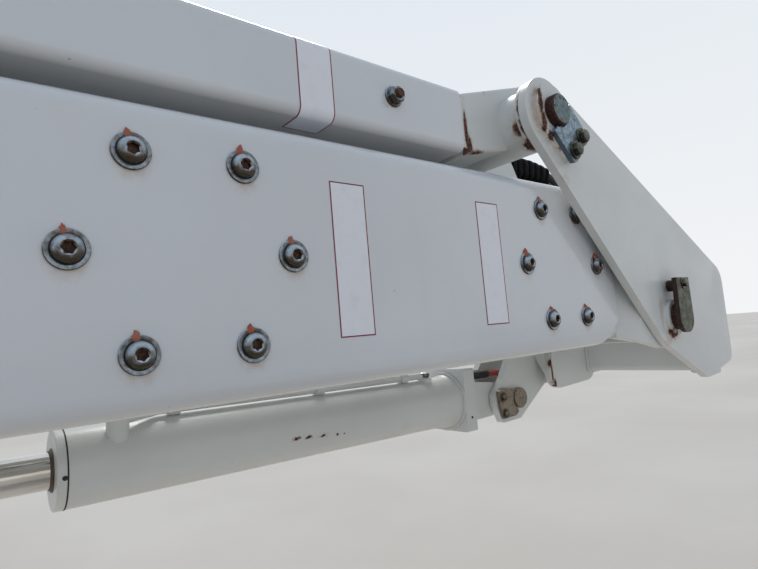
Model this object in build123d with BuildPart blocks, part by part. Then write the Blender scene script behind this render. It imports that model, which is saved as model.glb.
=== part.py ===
from build123d import *
from collections import namedtuple
import math
import os

# Articulated aerial lift boom: turret upright, lower boom, parallel link, elbow, upper boom and cylinders.
# Millimetres. X runs from the turret to the elbow, Z is up, and the upper boom lies on the +Y side.
# The origin is the centre of the bolt circle on the turret's underside. Rest pose: both booms level, folded.

os.makedirs("parts", exist_ok=True)

# Pivots in side view
BOOM_PIVOT_X = 150.0
BOOM_PIVOT_Z = 650.0
BOOM_SPAN = 3480.0  # turret pivot to elbow pin
LINK_DX = -356.0  # each link pin from its boom pin
LINK_DZ = 342.0
UPPER_DX = 240.0  # upper boom's pivot from the elbow pin
UPPER_DZ = 60.0
ANCHOR_DX = -130.0  # upper cylinder's base pin from the elbow pin
ANCHOR_DZ = -149.5
UPPER_CYL_SLOPE = 1.4  # degrees that the upper cylinder rises towards its rod
UPPER_CYL_CLOSED = 1205.0  # base to eye along its axis at rest
UPPER_AXIS_RISE = 12.0  # cylinder's axis above its base pin
LIFT_BASE_X = 330.0
LIFT_BASE_Z = 200.0
LIFT_EYE_X = 1150.0
LIFT_EYE_Z = 450.0

# Fits and small forms
RUNNING = 0.05  # radial clearance of a pin in its bore
SEAT = 0.3  # gap of a piece that seats in another
SIDE_GAP = 2.0  # side clearance of a hub between its plates
OPEN_GAP = 5.0  # side clearance of a rod eye whose pin is parted
PIN_CHAMFER = 2.0
INNER_CORNER = 2.0  # smallest corner inside a box tube
PIN_SHOW = 10.0  # a plain pin's end past its plate
FAR_PIN_SETBACK = 1.0  # pin ends stay inside the far plate's outer face

# Lower boom
BOOM_WIDTH = 204.0
BOOM_HEIGHT = 282.0
BOOM_RISE = 104.0  # boom's middle above its pins
BOOM_CORNER = 23.0
SHELL_WALL = 9.5
STEEL_WALL = 8.0
SHELL_START = -1150.0  # from the elbow pin
SHELL_END = -155.0
SHELL_CUT_LENGTH = 55.0
SHELL_CUT_HEIGHT = 42.0
BASE_SECTION_END = -795.0
TIP_BOX_START = -455.0
FLARE_START = -150.0  # ears leave the tip section, from the elbow pin
FLARE_END = -95.0
FLARE_STEP = 8.0  # the ear's inside turns this much later than its outside
EAR_CORNER = 30.0
EAR_THICKNESS = 20.0
EAR_RADIUS = 60.0
BOOM_HEEL = 70.0  # base section's start from the turret pivot
HEEL_SEAM = 4.0  # gusset's overlap into the base section
HEEL_UNDER = 220.0  # gusset's length under the base section
HEEL_TOP_DROP = 30.0
HEEL_REAR = (-40.0, 40.0)  # gusset's corners from the turret pivot
HEEL_LOW = (30.0, -45.0)

# Elbow and turret plates
PLATE_THICKNESS = 14.0
PLATE_INNER = 118.0  # inner face from the boom's middle plane
PIN_RADIUS = 25.0
BOSS_WALL = 9.0
PAD_THICKNESS = 8.0
PAD_LENGTH = 52.0
PAD_PIN_RADIUS = 46.0
PAD_END_RADIUS = 38.0
LINK_PIN_SHOW = 15.0  # link pin's end past the pad
KEEPER_THICKNESS = 8.0
KEEPER_PIN_GAP = 3.0
FLAG_THICKNESS = 9.0
FLAG_GAP = 11.0  # from the boss to the flag
FLAG_TOP = 75.0  # above the elbow pin
FLAG_WIDTH = 56.0
FLAG_ROUND = 31.0
FLAG_SPACER_Z = 61.0
FLAG_SPACER_RADIUS = 11.0
CROSS_TUBE = 76.0
CROSS_TUBE_WALL = 8.0
CROSS_TUBE_CORNER = 12.0
CROSS_TUBE_DX = 140.0
CROSS_TUBE_DZ = -79.0
BRACKET_THICKNESS = 16.0
BRACKET_CORNER = 8.0
BACK_PLATE_DX = -70.0  # back plate's front from the cross tube's middle
BACK_PLATE_RISE = 3.0
BACK_PLATE_HEIGHT = 108.0
GUSSET_DX = -50.0  # from the elbow pin
GUSSET_THICKNESS = 10.0

# Parallel link
LINK_WIDTH = 152.0
LINK_HEIGHT = 98.0
LINK_DROP = 17.0  # link tube's middle below its pins
LINK_CORNER = 12.0
LINK_WALL = 7.0
LINK_STEEL_WALL = 6.0
LINK_SHELL_START = -1300.0  # from the elbow pin
LINK_SHELL_END = -504.0
LINK_TIP_INSERT = 190.0
LINK_TIP_GAP = 10.0  # insert that shows between the shell and the tip box
LINK_TIP_ROUND = 5.0
LINK_BASE_OVERLAP = 150.0
LINK_HUB_RADIUS = 51.0

# Upper boom, on the +Y side
UPPER_Y = 206.0
UPPER_WIDTH = 138.0
UPPER_HEIGHT = 290.0
UPPER_BOTTOM = 155.0  # underside above the elbow pin
UPPER_CORNER = 20.0
UPPER_WALL = 8.0
UPPER_SHELL_WALL = 7.0
UPPER_OVERLAP = 350.0  # shell inside the steel base
UPPER_LENGTH = 4300.0  # pivot to platform pivot
UPPER_STEEL_LENGTH = 1750.0
UPPER_MOUTH_TOP = -121.0  # slanted end's upper corner from the elbow pin
UPPER_MOUTH_SLANT = 151.0
UPPER_PIN_RADIUS = 28.0
UPPER_PIN_SHOW = 6.0
UPPER_HUB_RADIUS = 48.0
UPPER_CHEEK_THICKNESS = 14.0
UPPER_CHEEK_RADIUS = 80.0
OUTER_GAP = 5.0
UPPER_TIP_LENGTH = 260.0
UPPER_TIP_START = 30.0  # tip box's end from the platform pivot
UPPER_TIP_LUG = 48.0
UPPER_TIP_WEB = 12.0
PLATFORM_BORE_RADIUS = 20.0

# Hoses that leave the upper boom's open end for a bulkhead beside its pivot
HOSE_RADIUS = 11.0
HOSE_SPACING = 26.0
BULKHEAD_RISE = 60.0  # underside above the pivot
BULKHEAD_THICKNESS = 8.0
BULKHEAD_HALF = 40.0
HOSE_ROW = 15.0  # each row's end from the pivot's plane
HOSE_STRAIGHT_Z = 200.0  # hoses run straight down from here, above the elbow pin

# Cylinders
UPPER_BORE_RADIUS = 40.0
UPPER_BARREL_RADIUS = 49.3
UPPER_ROD_RADIUS = 22.25
UPPER_BARREL_START = 150.0  # from the base pin
UPPER_BARREL_END = 864.0
BLOCK_LENGTH = 30.0
BLOCK_WIDTH = 114.0
BLOCK_HEIGHT = 124.0
BLOCK_RISE = 3.0
BLOCK_CORNER = 4.0
UPPER_BASE_LUG = 58.0
UPPER_EYE_WIDTH = 50.0
CYL_PIN_RADIUS = 22.0
ANCHOR_PIN_SHOW = 11.0  # past the bracket's near face
LUG_RADIUS = 37.0
LUG_CORNER = 5.0
UPPER_LUG_RADIUS = 32.0
UPPER_LUG_SHIFT = 4.5  # lug's middle above the axis at the end block
ROD_COLLAR = 6.0  # collar's height on the rod, behind its eye
ROD_COLLAR_LENGTH = 24.0
LIFT_BORE_RADIUS = 50.0
LIFT_BARREL_RADIUS = 62.0
LIFT_ROD_RADIUS = 30.0
LIFT_BARREL_START = 45.0
LIFT_BARREL_END = 740.0
LIFT_LUG_WIDTH = 76.0
GLAND_LENGTH = 60.0
GLAND_RING = 11.0
GLAND_CHAMFER = 1.0
PISTON_GAP = 8.0  # piston's back from the barrel's end wall, fully in
PISTON_LENGTH = 50.0
BARREL_END_WALL = 30.0
EAR_RIM = 11.0  # ear's metal outside the lug's radius
EAR_FOOT_HALF = 115.0
FOOT_LENGTH = 300.0
FOOT_THICKNESS = 10.0
FOOT_MARGIN = 15.0
FOOT_CORNER = 10.0

# Hoses at the upper cylinder's base, over its lug
PORT_HOSE_RADIUS = 6.0
PORT_HOSE_OFFSET = 12.0  # each side of the lug's middle
PORT_HOSE_RISE = 60.5  # above the base pin at the end block
PORT_BLOCK = (28.0, 54.0, 18.0)  # along X, Y and Z, under the lug's nose
PORT_BLOCK_DX = 42.0  # its middle from the base pin
PORT_BLOCK_DZ = -7.0
HOSE_ARC = 0.45  # share of the shorter run that an arc takes at a hose's corner

# Turret
BASE_RADIUS = 330.0
BASE_THICKNESS = 25.0
BASE_OPENING_RADIUS = 90.0
BOLT_CIRCLE_RADIUS = 290.0
BOLT_COUNT = 12
BOLT_HOLE_RADIUS = 11.0
CHEEK_BOOM_RADIUS = 80.0
CHEEK_LINK_RADIUS = 62.0
CHEEK_TOE_RADIUS = 20.0
CHEEK_REAR_TOE = -220.0
CHEEK_FRONT_TOE = 240.0
CHEEK_NOSE = (10.0, 30.0)  # nose circle from the lift cylinder's base pin
WEB_THICKNESS = 12.0
REAR_WEB = (-220.0, 775.0)  # rear face and height
FRONT_WEB = (195.0, 440.0)

# Worked out places
boom_pivot = (BOOM_PIVOT_X, BOOM_PIVOT_Z)
elbow_x = BOOM_PIVOT_X + BOOM_SPAN
elbow_z = BOOM_PIVOT_Z
elbow_pin_at = (elbow_x, elbow_z)
link_pivot = (BOOM_PIVOT_X + LINK_DX, BOOM_PIVOT_Z + LINK_DZ)
link_pin_at = (elbow_x + LINK_DX, elbow_z + LINK_DZ)
upper_pivot = (elbow_x + UPPER_DX, elbow_z + UPPER_DZ)
anchor = (elbow_x + ANCHOR_DX, elbow_z + ANCHOR_DZ)
cross_tube_at = (elbow_x + CROSS_TUBE_DX, elbow_z + CROSS_TUBE_DZ)
slope = math.radians(UPPER_CYL_SLOPE)
upper_axis = (anchor[0], anchor[1] + UPPER_AXIS_RISE)
upper_eye = (
    upper_axis[0] - UPPER_CYL_CLOSED * math.cos(slope),
    upper_axis[1] + UPPER_CYL_CLOSED * math.sin(slope),
)
lift_base = (LIFT_BASE_X, LIFT_BASE_Z)
lift_eye = (LIFT_EYE_X, LIFT_EYE_Z)
plate_outer = PLATE_INNER + PLATE_THICKNESS
hub_face = PLATE_INNER - SIDE_GAP
boom_mid_z = elbow_z + BOOM_RISE
link_mid_z = link_pin_at[1] - LINK_DROP
upper_low_z = elbow_z + UPPER_BOTTOM
upper_mid_z = upper_low_z + UPPER_HEIGHT / 2
upper_top_z = upper_low_z + UPPER_HEIGHT
upper_near_y = UPPER_Y - UPPER_WIDTH / 2
upper_far_y = UPPER_Y + UPPER_WIDTH / 2
outer_plate_y = upper_far_y + OUTER_GAP
bore = PIN_RADIUS + RUNNING
upper_bore = UPPER_PIN_RADIUS + RUNNING
cyl_bore = CYL_PIN_RADIUS + RUNNING


def side(y):
    """Plane across Y, facing -Y, with its own axes along X and Z."""
    return Plane.XZ.offset(-y)


def export(piece, label):
    piece.part.label = label
    export_step(piece.part, "parts/" + label + ".step")


def box_tube(start_x, end_x, middle, width, height, corner, wall):
    """Level rounded box tube along X, its middle at (Y, Z)."""
    with BuildPart() as piece:
        with BuildSketch(Plane.YZ.offset(start_x)):
            with Locations(middle):
                RectangleRounded(width, height, corner)
                RectangleRounded(
                    width - 2 * wall, height - 2 * wall, max(corner - wall, INNER_CORNER), mode=Mode.SUBTRACT
                )
        extrude(amount=end_x - start_x)
    return piece


def round_bar(at, y_low, y_high, radius):
    with BuildPart() as piece:
        with BuildSketch(side(y_high)):
            with Locations(at):
                Circle(radius)
        extrude(amount=y_high - y_low)
    return piece


def cross_pin(at, y_low, y_high, radius):
    bar = round_bar(at, y_low, y_high, radius)
    with BuildPart() as piece:
        add(bar.part)
        chamfer(piece.edges().filter_by(GeomType.CIRCLE), PIN_CHAMFER)
    return piece


def corner_circles(rows):
    """Adds circles to the open sketch, each row (point, dx, dz, radius)."""
    for point, dx, dz, radius in rows:
        with Locations((point[0] + dx, point[1] + dz)):
            Circle(radius)


# Elbow plates, each a hull round corner circles: (point that it belongs to, dx, dz, radius)
NEAR_PLATE_CORNERS = [
    (link_pin_at, -4, -1, 59),
    (elbow_pin_at, 30, 60, 128),
    (cross_tube_at, 3, -41, 14),
    (cross_tube_at, 128, -5, 30),
    (upper_pivot, 14, 5, 45),
]
FAR_PLATE_CORNERS = [
    (link_pin_at, -4, -1, 59),
    (elbow_pin_at, 30, 60, 128),
    (cross_tube_at, 128, -5, 30),
    (upper_pivot, 14, 5, 45),
]
FAR_LOBE_CORNERS = [(anchor, 110, 45, 37), (cross_tube_at, -44, -19, 40), (elbow_pin_at, 40, -20, 60)]
OUTER_PLATE_CORNERS = [(upper_pivot, 0, 0, 60), (cross_tube_at, 0, 0, 62), (cross_tube_at, 60, 0, 50)]
# Foot under the cross tube where the near plate's lower edge steps down, from the cross tube's middle
PLATE_FOOT = [(3, -55), (74, -52.5), (77, -42), (3, -42)]


def hull_plate(y_high, corners):
    """Plate whose outline is the hull of corner circles, its outer face towards +Y at y_high."""
    with BuildPart() as piece:
        with BuildSketch(side(y_high)):
            corner_circles(corners)
            make_hull()
        extrude(amount=PLATE_THICKNESS)
    return piece


# The pad runs from the link pin towards the elbow pin
plate_angle = math.atan2(-LINK_DZ, -LINK_DX)
pad_end = (
    link_pin_at[0] + PAD_LENGTH * math.cos(plate_angle),
    link_pin_at[1] + PAD_LENGTH * math.sin(plate_angle),
)
near_blank = hull_plate(-PLATE_INNER, NEAR_PLATE_CORNERS)
with BuildPart() as elbow_near_plate:
    add(near_blank.part)
    with BuildSketch(side(-PLATE_INNER)):
        with BuildLine():
            Polyline(*[(cross_tube_at[0] + x, cross_tube_at[1] + z) for x, z in PLATE_FOOT], close=True)
        make_face()
    extrude(amount=PLATE_THICKNESS)
    with BuildSketch(side(-plate_outer)):
        corner_circles([(link_pin_at, 0, 0, PAD_PIN_RADIUS), (pad_end, 0, 0, PAD_END_RADIUS)])
        make_hull()
    extrude(amount=PAD_THICKNESS)
    with BuildSketch(side(-plate_outer)):
        with Locations(elbow_pin_at):
            Circle(PIN_RADIUS + BOSS_WALL)
    extrude(amount=PAD_THICKNESS)
    with BuildSketch(side(-PLATE_INNER)):
        with Locations(elbow_pin_at, link_pin_at):
            Circle(bore)
    extrude(amount=PLATE_THICKNESS + PAD_THICKNESS, mode=Mode.SUBTRACT)
export(elbow_near_plate, "elbow_near_plate")

far_blank = hull_plate(plate_outer, FAR_PLATE_CORNERS)
far_lobe = hull_plate(plate_outer, FAR_LOBE_CORNERS)
with BuildPart() as elbow_far_plate:
    add(far_blank.part)
    add(far_lobe.part)
    with BuildSketch(side(plate_outer)):
        with Locations(elbow_pin_at, link_pin_at):
            Circle(bore)
        with Locations(upper_pivot):
            Circle(upper_bore)
        with Locations(cross_tube_at):
            RectangleRounded(CROSS_TUBE + 2 * SEAT, CROSS_TUBE + 2 * SEAT, CROSS_TUBE_CORNER + SEAT)
    extrude(amount=PLATE_THICKNESS, mode=Mode.SUBTRACT)
export(elbow_far_plate, "elbow_far_plate")

with BuildPart() as elbow_outer_plate:
    with BuildSketch(side(outer_plate_y + PLATE_THICKNESS)):
        corner_circles(OUTER_PLATE_CORNERS)
        make_hull()
        with Locations(upper_pivot):
            Circle(upper_bore, mode=Mode.SUBTRACT)
    extrude(amount=PLATE_THICKNESS)
export(elbow_outer_plate, "elbow_outer_plate")

with BuildPart() as elbow_cross_tube:
    with BuildSketch(side(outer_plate_y)):
        with Locations(cross_tube_at):
            RectangleRounded(CROSS_TUBE, CROSS_TUBE, CROSS_TUBE_CORNER)
            RectangleRounded(
                CROSS_TUBE - 2 * CROSS_TUBE_WALL,
                CROSS_TUBE - 2 * CROSS_TUBE_WALL,
                CROSS_TUBE_CORNER - CROSS_TUBE_WALL,
                mode=Mode.SUBTRACT,
            )
    extrude(amount=outer_plate_y + PLATE_INNER)
export(elbow_cross_tube, "elbow_cross_tube")

# Two bracket plates hold the upper cylinder's base pin, tied to the elbow by a back plate and a gusset
BRACKET_OUTLINE = [
    (elbow_pin_at, -113, -20), (anchor, -44, 46), (anchor, -76, 16), (anchor, -76, -6), (anchor, -58, -46),
    (anchor, 5, -45), (elbow_pin_at, -22, -132), (elbow_pin_at, 70, -128), (elbow_pin_at, 70, -20),
]  # columns: point, dx, dz
# Gusset's corners above the elbow pin, on the far plate and on the bracket plate
GUSSET_TOP = -50.0
GUSSET_FAR_LOW = -118.0
GUSSET_NEAR_LOW = -69.0
bracket_near_y = UPPER_Y - UPPER_BASE_LUG / 2 - SIDE_GAP - BRACKET_THICKNESS
bracket_far_y = UPPER_Y + UPPER_BASE_LUG / 2 + SIDE_GAP
back_plate_x = cross_tube_at[0] + BACK_PLATE_DX
with BuildPart() as elbow_cylinder_bracket:
    for low_y in (bracket_near_y, bracket_far_y):
        with BuildSketch(side(low_y + BRACKET_THICKNESS)) as bracket_sketch:
            with BuildLine():
                Polyline(*[(point[0] + x, point[1] + z) for point, x, z in BRACKET_OUTLINE], close=True)
            make_face()
            fillet(bracket_sketch.vertices(), BRACKET_CORNER)
            with Locations(anchor):
                Circle(cyl_bore, mode=Mode.SUBTRACT)
        extrude(amount=BRACKET_THICKNESS)
    with BuildSketch(Plane.YZ.offset(back_plate_x)):
        with Locations(((plate_outer + outer_plate_y) / 2, cross_tube_at[1] + BACK_PLATE_RISE)):
            Rectangle(outer_plate_y - plate_outer - 2 * SEAT, BACK_PLATE_HEIGHT)
    extrude(amount=-BACK_PLATE_DX - CROSS_TUBE / 2 - SEAT)
    with BuildSketch(Plane.YZ.offset(elbow_x + GUSSET_DX)):
        with BuildLine():
            Polyline(
                (plate_outer + SEAT, elbow_z + GUSSET_TOP),
                (bracket_near_y, elbow_z + GUSSET_TOP),
                (bracket_near_y, elbow_z + GUSSET_NEAR_LOW),
                (plate_outer + SEAT, elbow_z + GUSSET_FAR_LOW),
                close=True,
            )
        make_face()
    extrude(amount=GUSSET_THICKNESS)
export(elbow_cylinder_bracket, "elbow_cylinder_bracket")

pin_back = plate_outer - FAR_PIN_SETBACK
boss_y = -plate_outer - PAD_THICKNESS
flag_inner_y = boss_y - FLAG_GAP
elbow_pin = cross_pin(elbow_pin_at, flag_inner_y, pin_back, PIN_RADIUS)
export(elbow_pin, "elbow_pin")
link_pin = cross_pin(link_pin_at, boss_y - LINK_PIN_SHOW, pin_back, PIN_RADIUS)
export(link_pin, "link_pin")
upper_boom_pin = cross_pin(
    upper_pivot,
    PLATE_INNER + FAR_PIN_SETBACK,
    outer_plate_y + PLATE_THICKNESS + UPPER_PIN_SHOW,
    UPPER_PIN_RADIUS,
)
export(upper_boom_pin, "upper_boom_pin")
anchor_pin = cross_pin(
    anchor,
    bracket_near_y - ANCHOR_PIN_SHOW,
    bracket_far_y + BRACKET_THICKNESS + ANCHOR_PIN_SHOW,
    CYL_PIN_RADIUS,
)
export(anchor_pin, "anchor_pin")

# Flag on the elbow pin's end, held to the plate by a spacer above the pin
with BuildPart() as elbow_pin_flag:
    with BuildSketch(side(flag_inner_y)):
        with Locations(elbow_pin_at):
            Circle(FLAG_ROUND)
        with BuildLine():
            Polyline(
                (elbow_x - FLAG_WIDTH / 2, elbow_z),
                (elbow_x - FLAG_WIDTH / 2, elbow_z + FLAG_TOP),
                (elbow_x + FLAG_WIDTH / 2, elbow_z + FLAG_TOP),
                (elbow_x + FLAG_WIDTH / 2, elbow_z),
                close=True,
            )
        make_face()
        make_hull()
    extrude(amount=FLAG_THICKNESS)
    with BuildSketch(side(-plate_outer - SEAT)):
        with Locations((elbow_x, elbow_z + FLAG_SPACER_Z)):
            Circle(FLAG_SPACER_RADIUS)
    extrude(amount=-plate_outer - SEAT - flag_inner_y)
export(elbow_pin_flag, "elbow_pin_flag")

# Keeper on the pad: corners along and across the plate from the link pin, hollowed round the pin
LINK_KEEPER_OUTLINE = [(14, 37), (60, 37), (78, 26), (83, 6), (83, -29), (77, -37), (14, -37)]
# Keeper on the bracket, from the anchor pin
ANCHOR_KEEPER_OUTLINE = [(-73, 23), (-50, 27), (-16, 22), (-10, -28), (-20, -35), (-61, -36), (-69, -10)]


def keeper(outline, pin_at, pin_radius, turn, face_y):
    """Plate beside a pin, its outline turned in side view and cut round the pin."""
    with BuildPart() as piece:
        with BuildSketch(side(face_y)):
            with BuildLine():
                Polyline(
                    *[
                        (
                            pin_at[0] + x * math.cos(turn) - z * math.sin(turn),
                            pin_at[1] + x * math.sin(turn) + z * math.cos(turn),
                        )
                        for x, z in outline
                    ],
                    close=True,
                )
            make_face()
            with Locations(pin_at):
                Circle(pin_radius + KEEPER_PIN_GAP, mode=Mode.SUBTRACT)
        extrude(amount=KEEPER_THICKNESS)
    return piece


link_pin_keeper = keeper(LINK_KEEPER_OUTLINE, link_pin_at, PIN_RADIUS, plate_angle, boss_y)
export(link_pin_keeper, "link_pin_keeper")
anchor_pin_keeper = keeper(ANCHOR_KEEPER_OUTLINE, anchor, CYL_PIN_RADIUS, 0.0, bracket_near_y)
export(anchor_pin_keeper, "anchor_pin_keeper")

# Lower boom
section_gap = SHELL_WALL + SEAT
inner_width = BOOM_WIDTH - 2 * section_gap
inner_height = BOOM_HEIGHT - 2 * section_gap
inner_corner = BOOM_CORNER - SHELL_WALL
boom_low_z = boom_mid_z - BOOM_HEIGHT / 2
inner_low_z = boom_mid_z - inner_height / 2
inner_high_z = boom_mid_z + inner_height / 2
shell_end_x = elbow_x + SHELL_END

boom_tube = box_tube(
    elbow_x + SHELL_START, shell_end_x, (0, boom_mid_z), BOOM_WIDTH, BOOM_HEIGHT, BOOM_CORNER, SHELL_WALL
)
with BuildPart() as boom_shell:
    add(boom_tube.part)
    # lower corner cut off at the elbow end
    with BuildSketch(side(BOOM_WIDTH)):
        with BuildLine():
            Polyline(
                (shell_end_x, boom_low_z),
                (shell_end_x, boom_low_z + SHELL_CUT_HEIGHT),
                (shell_end_x - SHELL_CUT_LENGTH, boom_low_z),
                close=True,
            )
        make_face()
    extrude(amount=2 * BOOM_WIDTH, mode=Mode.SUBTRACT)
export(boom_shell, "boom_shell")

heel_x = BOOM_PIVOT_X + BOOM_HEEL
base_tube = box_tube(
    heel_x, elbow_x + BASE_SECTION_END, (0, boom_mid_z), inner_width, inner_height, inner_corner, STEEL_WALL
)
heel_hub = round_bar(boom_pivot, -hub_face, hub_face, EAR_RADIUS)
heel_hole = round_bar(boom_pivot, -hub_face, hub_face, bore)
with BuildPart() as boom_base_section:
    add(base_tube.part)
    # gusset from the section down to the pivot hub
    with BuildSketch(side(inner_width / 2)):
        with BuildLine():
            Polyline(
                (BOOM_PIVOT_X + HEEL_REAR[0], BOOM_PIVOT_Z + HEEL_REAR[1]),
                (BOOM_PIVOT_X + HEEL_LOW[0], BOOM_PIVOT_Z + HEEL_LOW[1]),
                (heel_x + HEEL_UNDER, inner_low_z + HEEL_SEAM / 2),
                (heel_x + HEEL_SEAM, inner_low_z + HEEL_SEAM / 2),
                (heel_x + HEEL_SEAM, inner_high_z - HEEL_TOP_DROP),
                close=True,
            )
        make_face()
    extrude(amount=inner_width)
    add(heel_hub.part)
    add(heel_hole.part, mode=Mode.SUBTRACT)
export(boom_base_section, "boom_base_section")

# Ears that flare from the tip section out to the elbow's plates: plan shape first, then the side outline
ear_inner_y = hub_face - EAR_THICKNESS
with BuildPart() as tip_ears:
    with BuildSketch(Plane.XY.offset(elbow_z - EAR_RADIUS)):
        with BuildLine():
            Polyline(
                (elbow_x + FLARE_START, inner_width / 2),
                (elbow_x + FLARE_END, hub_face),
                (elbow_x + EAR_RADIUS, hub_face),
                (elbow_x + EAR_RADIUS, ear_inner_y),
                (elbow_x + FLARE_END + FLARE_STEP, ear_inner_y),
                (elbow_x + FLARE_START, inner_width / 2 - EAR_THICKNESS),
                close=True,
            )
        make_face()
        mirror(about=Plane.XZ)
        # web that ties the ears in front of the pin
        with Locations((elbow_x + FLARE_END, 0)):
            Rectangle(STEEL_WALL, 2 * ear_inner_y + FAR_PIN_SETBACK)
    extrude(amount=EAR_RADIUS + inner_high_z - elbow_z)
    with BuildSketch(side(hub_face)):
        corner_circles([
            (elbow_pin_at, 0, 0, EAR_RADIUS),
            ((elbow_x, inner_high_z), FLARE_START, -EAR_CORNER, EAR_CORNER),
            ((elbow_x, inner_low_z), FLARE_START, EAR_CORNER, EAR_CORNER),
        ])
        make_hull()
        with Locations(elbow_pin_at):
            Circle(bore, mode=Mode.SUBTRACT)
    extrude(amount=2 * hub_face, mode=Mode.INTERSECT)

tip_tube = box_tube(
    elbow_x + TIP_BOX_START,
    elbow_x + FLARE_START + HEEL_SEAM / 2,
    (0, boom_mid_z),
    inner_width,
    inner_height,
    inner_corner,
    STEEL_WALL,
)
with BuildPart() as boom_tip_fitting:
    add(tip_tube.part)
    add(tip_ears.part)
export(boom_tip_fitting, "boom_tip_fitting")


# Rod eyes hang between two ears under a boom, each ear with its own half of the parted pin
def eye_bracket(eye, y, gap, under_z, foot_width):
    """Foot plate under a boom with two ears down to a cylinder's eye."""
    with BuildPart() as piece:
        for face_y in (y + gap + BRACKET_THICKNESS, y - gap):
            with BuildSketch(side(face_y)):
                corner_circles([
                    (eye, 0, 0, LUG_RADIUS + EAR_RIM),
                    ((eye[0], under_z), -EAR_FOOT_HALF, -FOOT_THICKNESS / 2, FOOT_THICKNESS / 2),
                    ((eye[0], under_z), EAR_FOOT_HALF, -FOOT_THICKNESS / 2, FOOT_THICKNESS / 2),
                ])
                make_hull()
                with Locations(eye):
                    Circle(cyl_bore, mode=Mode.SUBTRACT)
            extrude(amount=BRACKET_THICKNESS)
        with BuildSketch(Plane.XY.offset(under_z - FOOT_THICKNESS)):
            with Locations((eye[0], y)):
                RectangleRounded(FOOT_LENGTH, foot_width, FOOT_CORNER)
        extrude(amount=FOOT_THICKNESS)
    return piece


def parted_pin(eye, y, gap):
    with BuildPart() as piece:
        for face_y in (y + gap + BRACKET_THICKNESS + PIN_SHOW, y - gap):
            with BuildSketch(side(face_y)):
                with Locations(eye):
                    Circle(CYL_PIN_RADIUS)
            extrude(amount=BRACKET_THICKNESS + PIN_SHOW)
    return piece


lift_gap = LIFT_LUG_WIDTH / 2 + OPEN_GAP
lift_foot = 2 * (lift_gap + BRACKET_THICKNESS + FOOT_MARGIN)
boom_lift_bracket = eye_bracket(lift_eye, 0, lift_gap, inner_low_z - SEAT, lift_foot)
export(boom_lift_bracket, "boom_lift_bracket")
lift_pin_ends = parted_pin(lift_eye, 0, lift_gap)
export(lift_pin_ends, "lift_pin_ends")

# Parallel link
link_shell_end_x = elbow_x + LINK_SHELL_END
link_inner_width = LINK_WIDTH - 2 * (LINK_WALL + SEAT)
link_inner_height = LINK_HEIGHT - 2 * (LINK_WALL + SEAT)
link_inner_corner = LINK_CORNER - LINK_WALL
link_shell = box_tube(
    elbow_x + LINK_SHELL_START,
    link_shell_end_x,
    (0, link_mid_z),
    LINK_WIDTH,
    LINK_HEIGHT,
    LINK_CORNER,
    LINK_WALL,
)
export(link_shell, "link_shell")

link_tube = box_tube(
    link_pivot[0],
    elbow_x + LINK_SHELL_START + LINK_BASE_OVERLAP,
    (0, link_mid_z),
    link_inner_width,
    link_inner_height,
    link_inner_corner,
    LINK_STEEL_WALL,
)
link_base_hub = round_bar(link_pivot, -hub_face, hub_face, LINK_HUB_RADIUS)
link_base_hole = round_bar(link_pivot, -hub_face, hub_face, bore)
with BuildPart() as link_steel_section:
    add(link_tube.part)
    add(link_base_hub.part)
    add(link_base_hole.part, mode=Mode.SUBTRACT)
export(link_steel_section, "link_steel_section")

# Tip box, deeper towards its nose: first and last corner at the shell, the others (x, z) from the link pin
tip_box_x = link_shell_end_x + LINK_TIP_GAP
TIP_BOX_SHELL_TOP = 46.5  # above the link tube's middle
TIP_BOX_SHELL_BOTTOM = -51.0
TIP_BOX_NOSE = [(20, 78), (43, 85), (40, -26.5), (-52, -48)]
link_tip_hub = round_bar(link_pin_at, -hub_face, hub_face, LINK_HUB_RADIUS)
link_tip_hole = round_bar(link_pin_at, -hub_face, hub_face, bore)
with BuildPart() as link_tip_fitting:
    with BuildSketch(side(link_inner_width / 2)):
        with BuildLine():
            Polyline(
                (tip_box_x, link_mid_z + TIP_BOX_SHELL_TOP),
                *[(link_pin_at[0] + x, link_pin_at[1] + z) for x, z in TIP_BOX_NOSE],
                (tip_box_x, link_mid_z + TIP_BOX_SHELL_BOTTOM),
                close=True,
            )
        make_face()
    extrude(amount=link_inner_width)
    fillet(link_tip_fitting.faces().filter_by(Axis.Y).edges(), LINK_TIP_ROUND)
    with BuildSketch(Plane.YZ.offset(link_shell_end_x - LINK_TIP_INSERT)):
        with Locations((0, link_mid_z)):
            RectangleRounded(link_inner_width, link_inner_height, link_inner_corner)
    extrude(amount=LINK_TIP_INSERT + LINK_TIP_GAP + LINK_TIP_ROUND)
    add(link_tip_hub.part)
    add(link_tip_hole.part, mode=Mode.SUBTRACT)
export(link_tip_fitting, "link_tip_fitting")

# Upper boom
upper_steel_start = upper_pivot[0] - UPPER_STEEL_LENGTH
upper_tip_x = upper_pivot[0] - UPPER_LENGTH
mouth_top_x = elbow_x + UPPER_MOUTH_TOP
mouth_low_x = mouth_top_x + UPPER_MOUTH_SLANT
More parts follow.
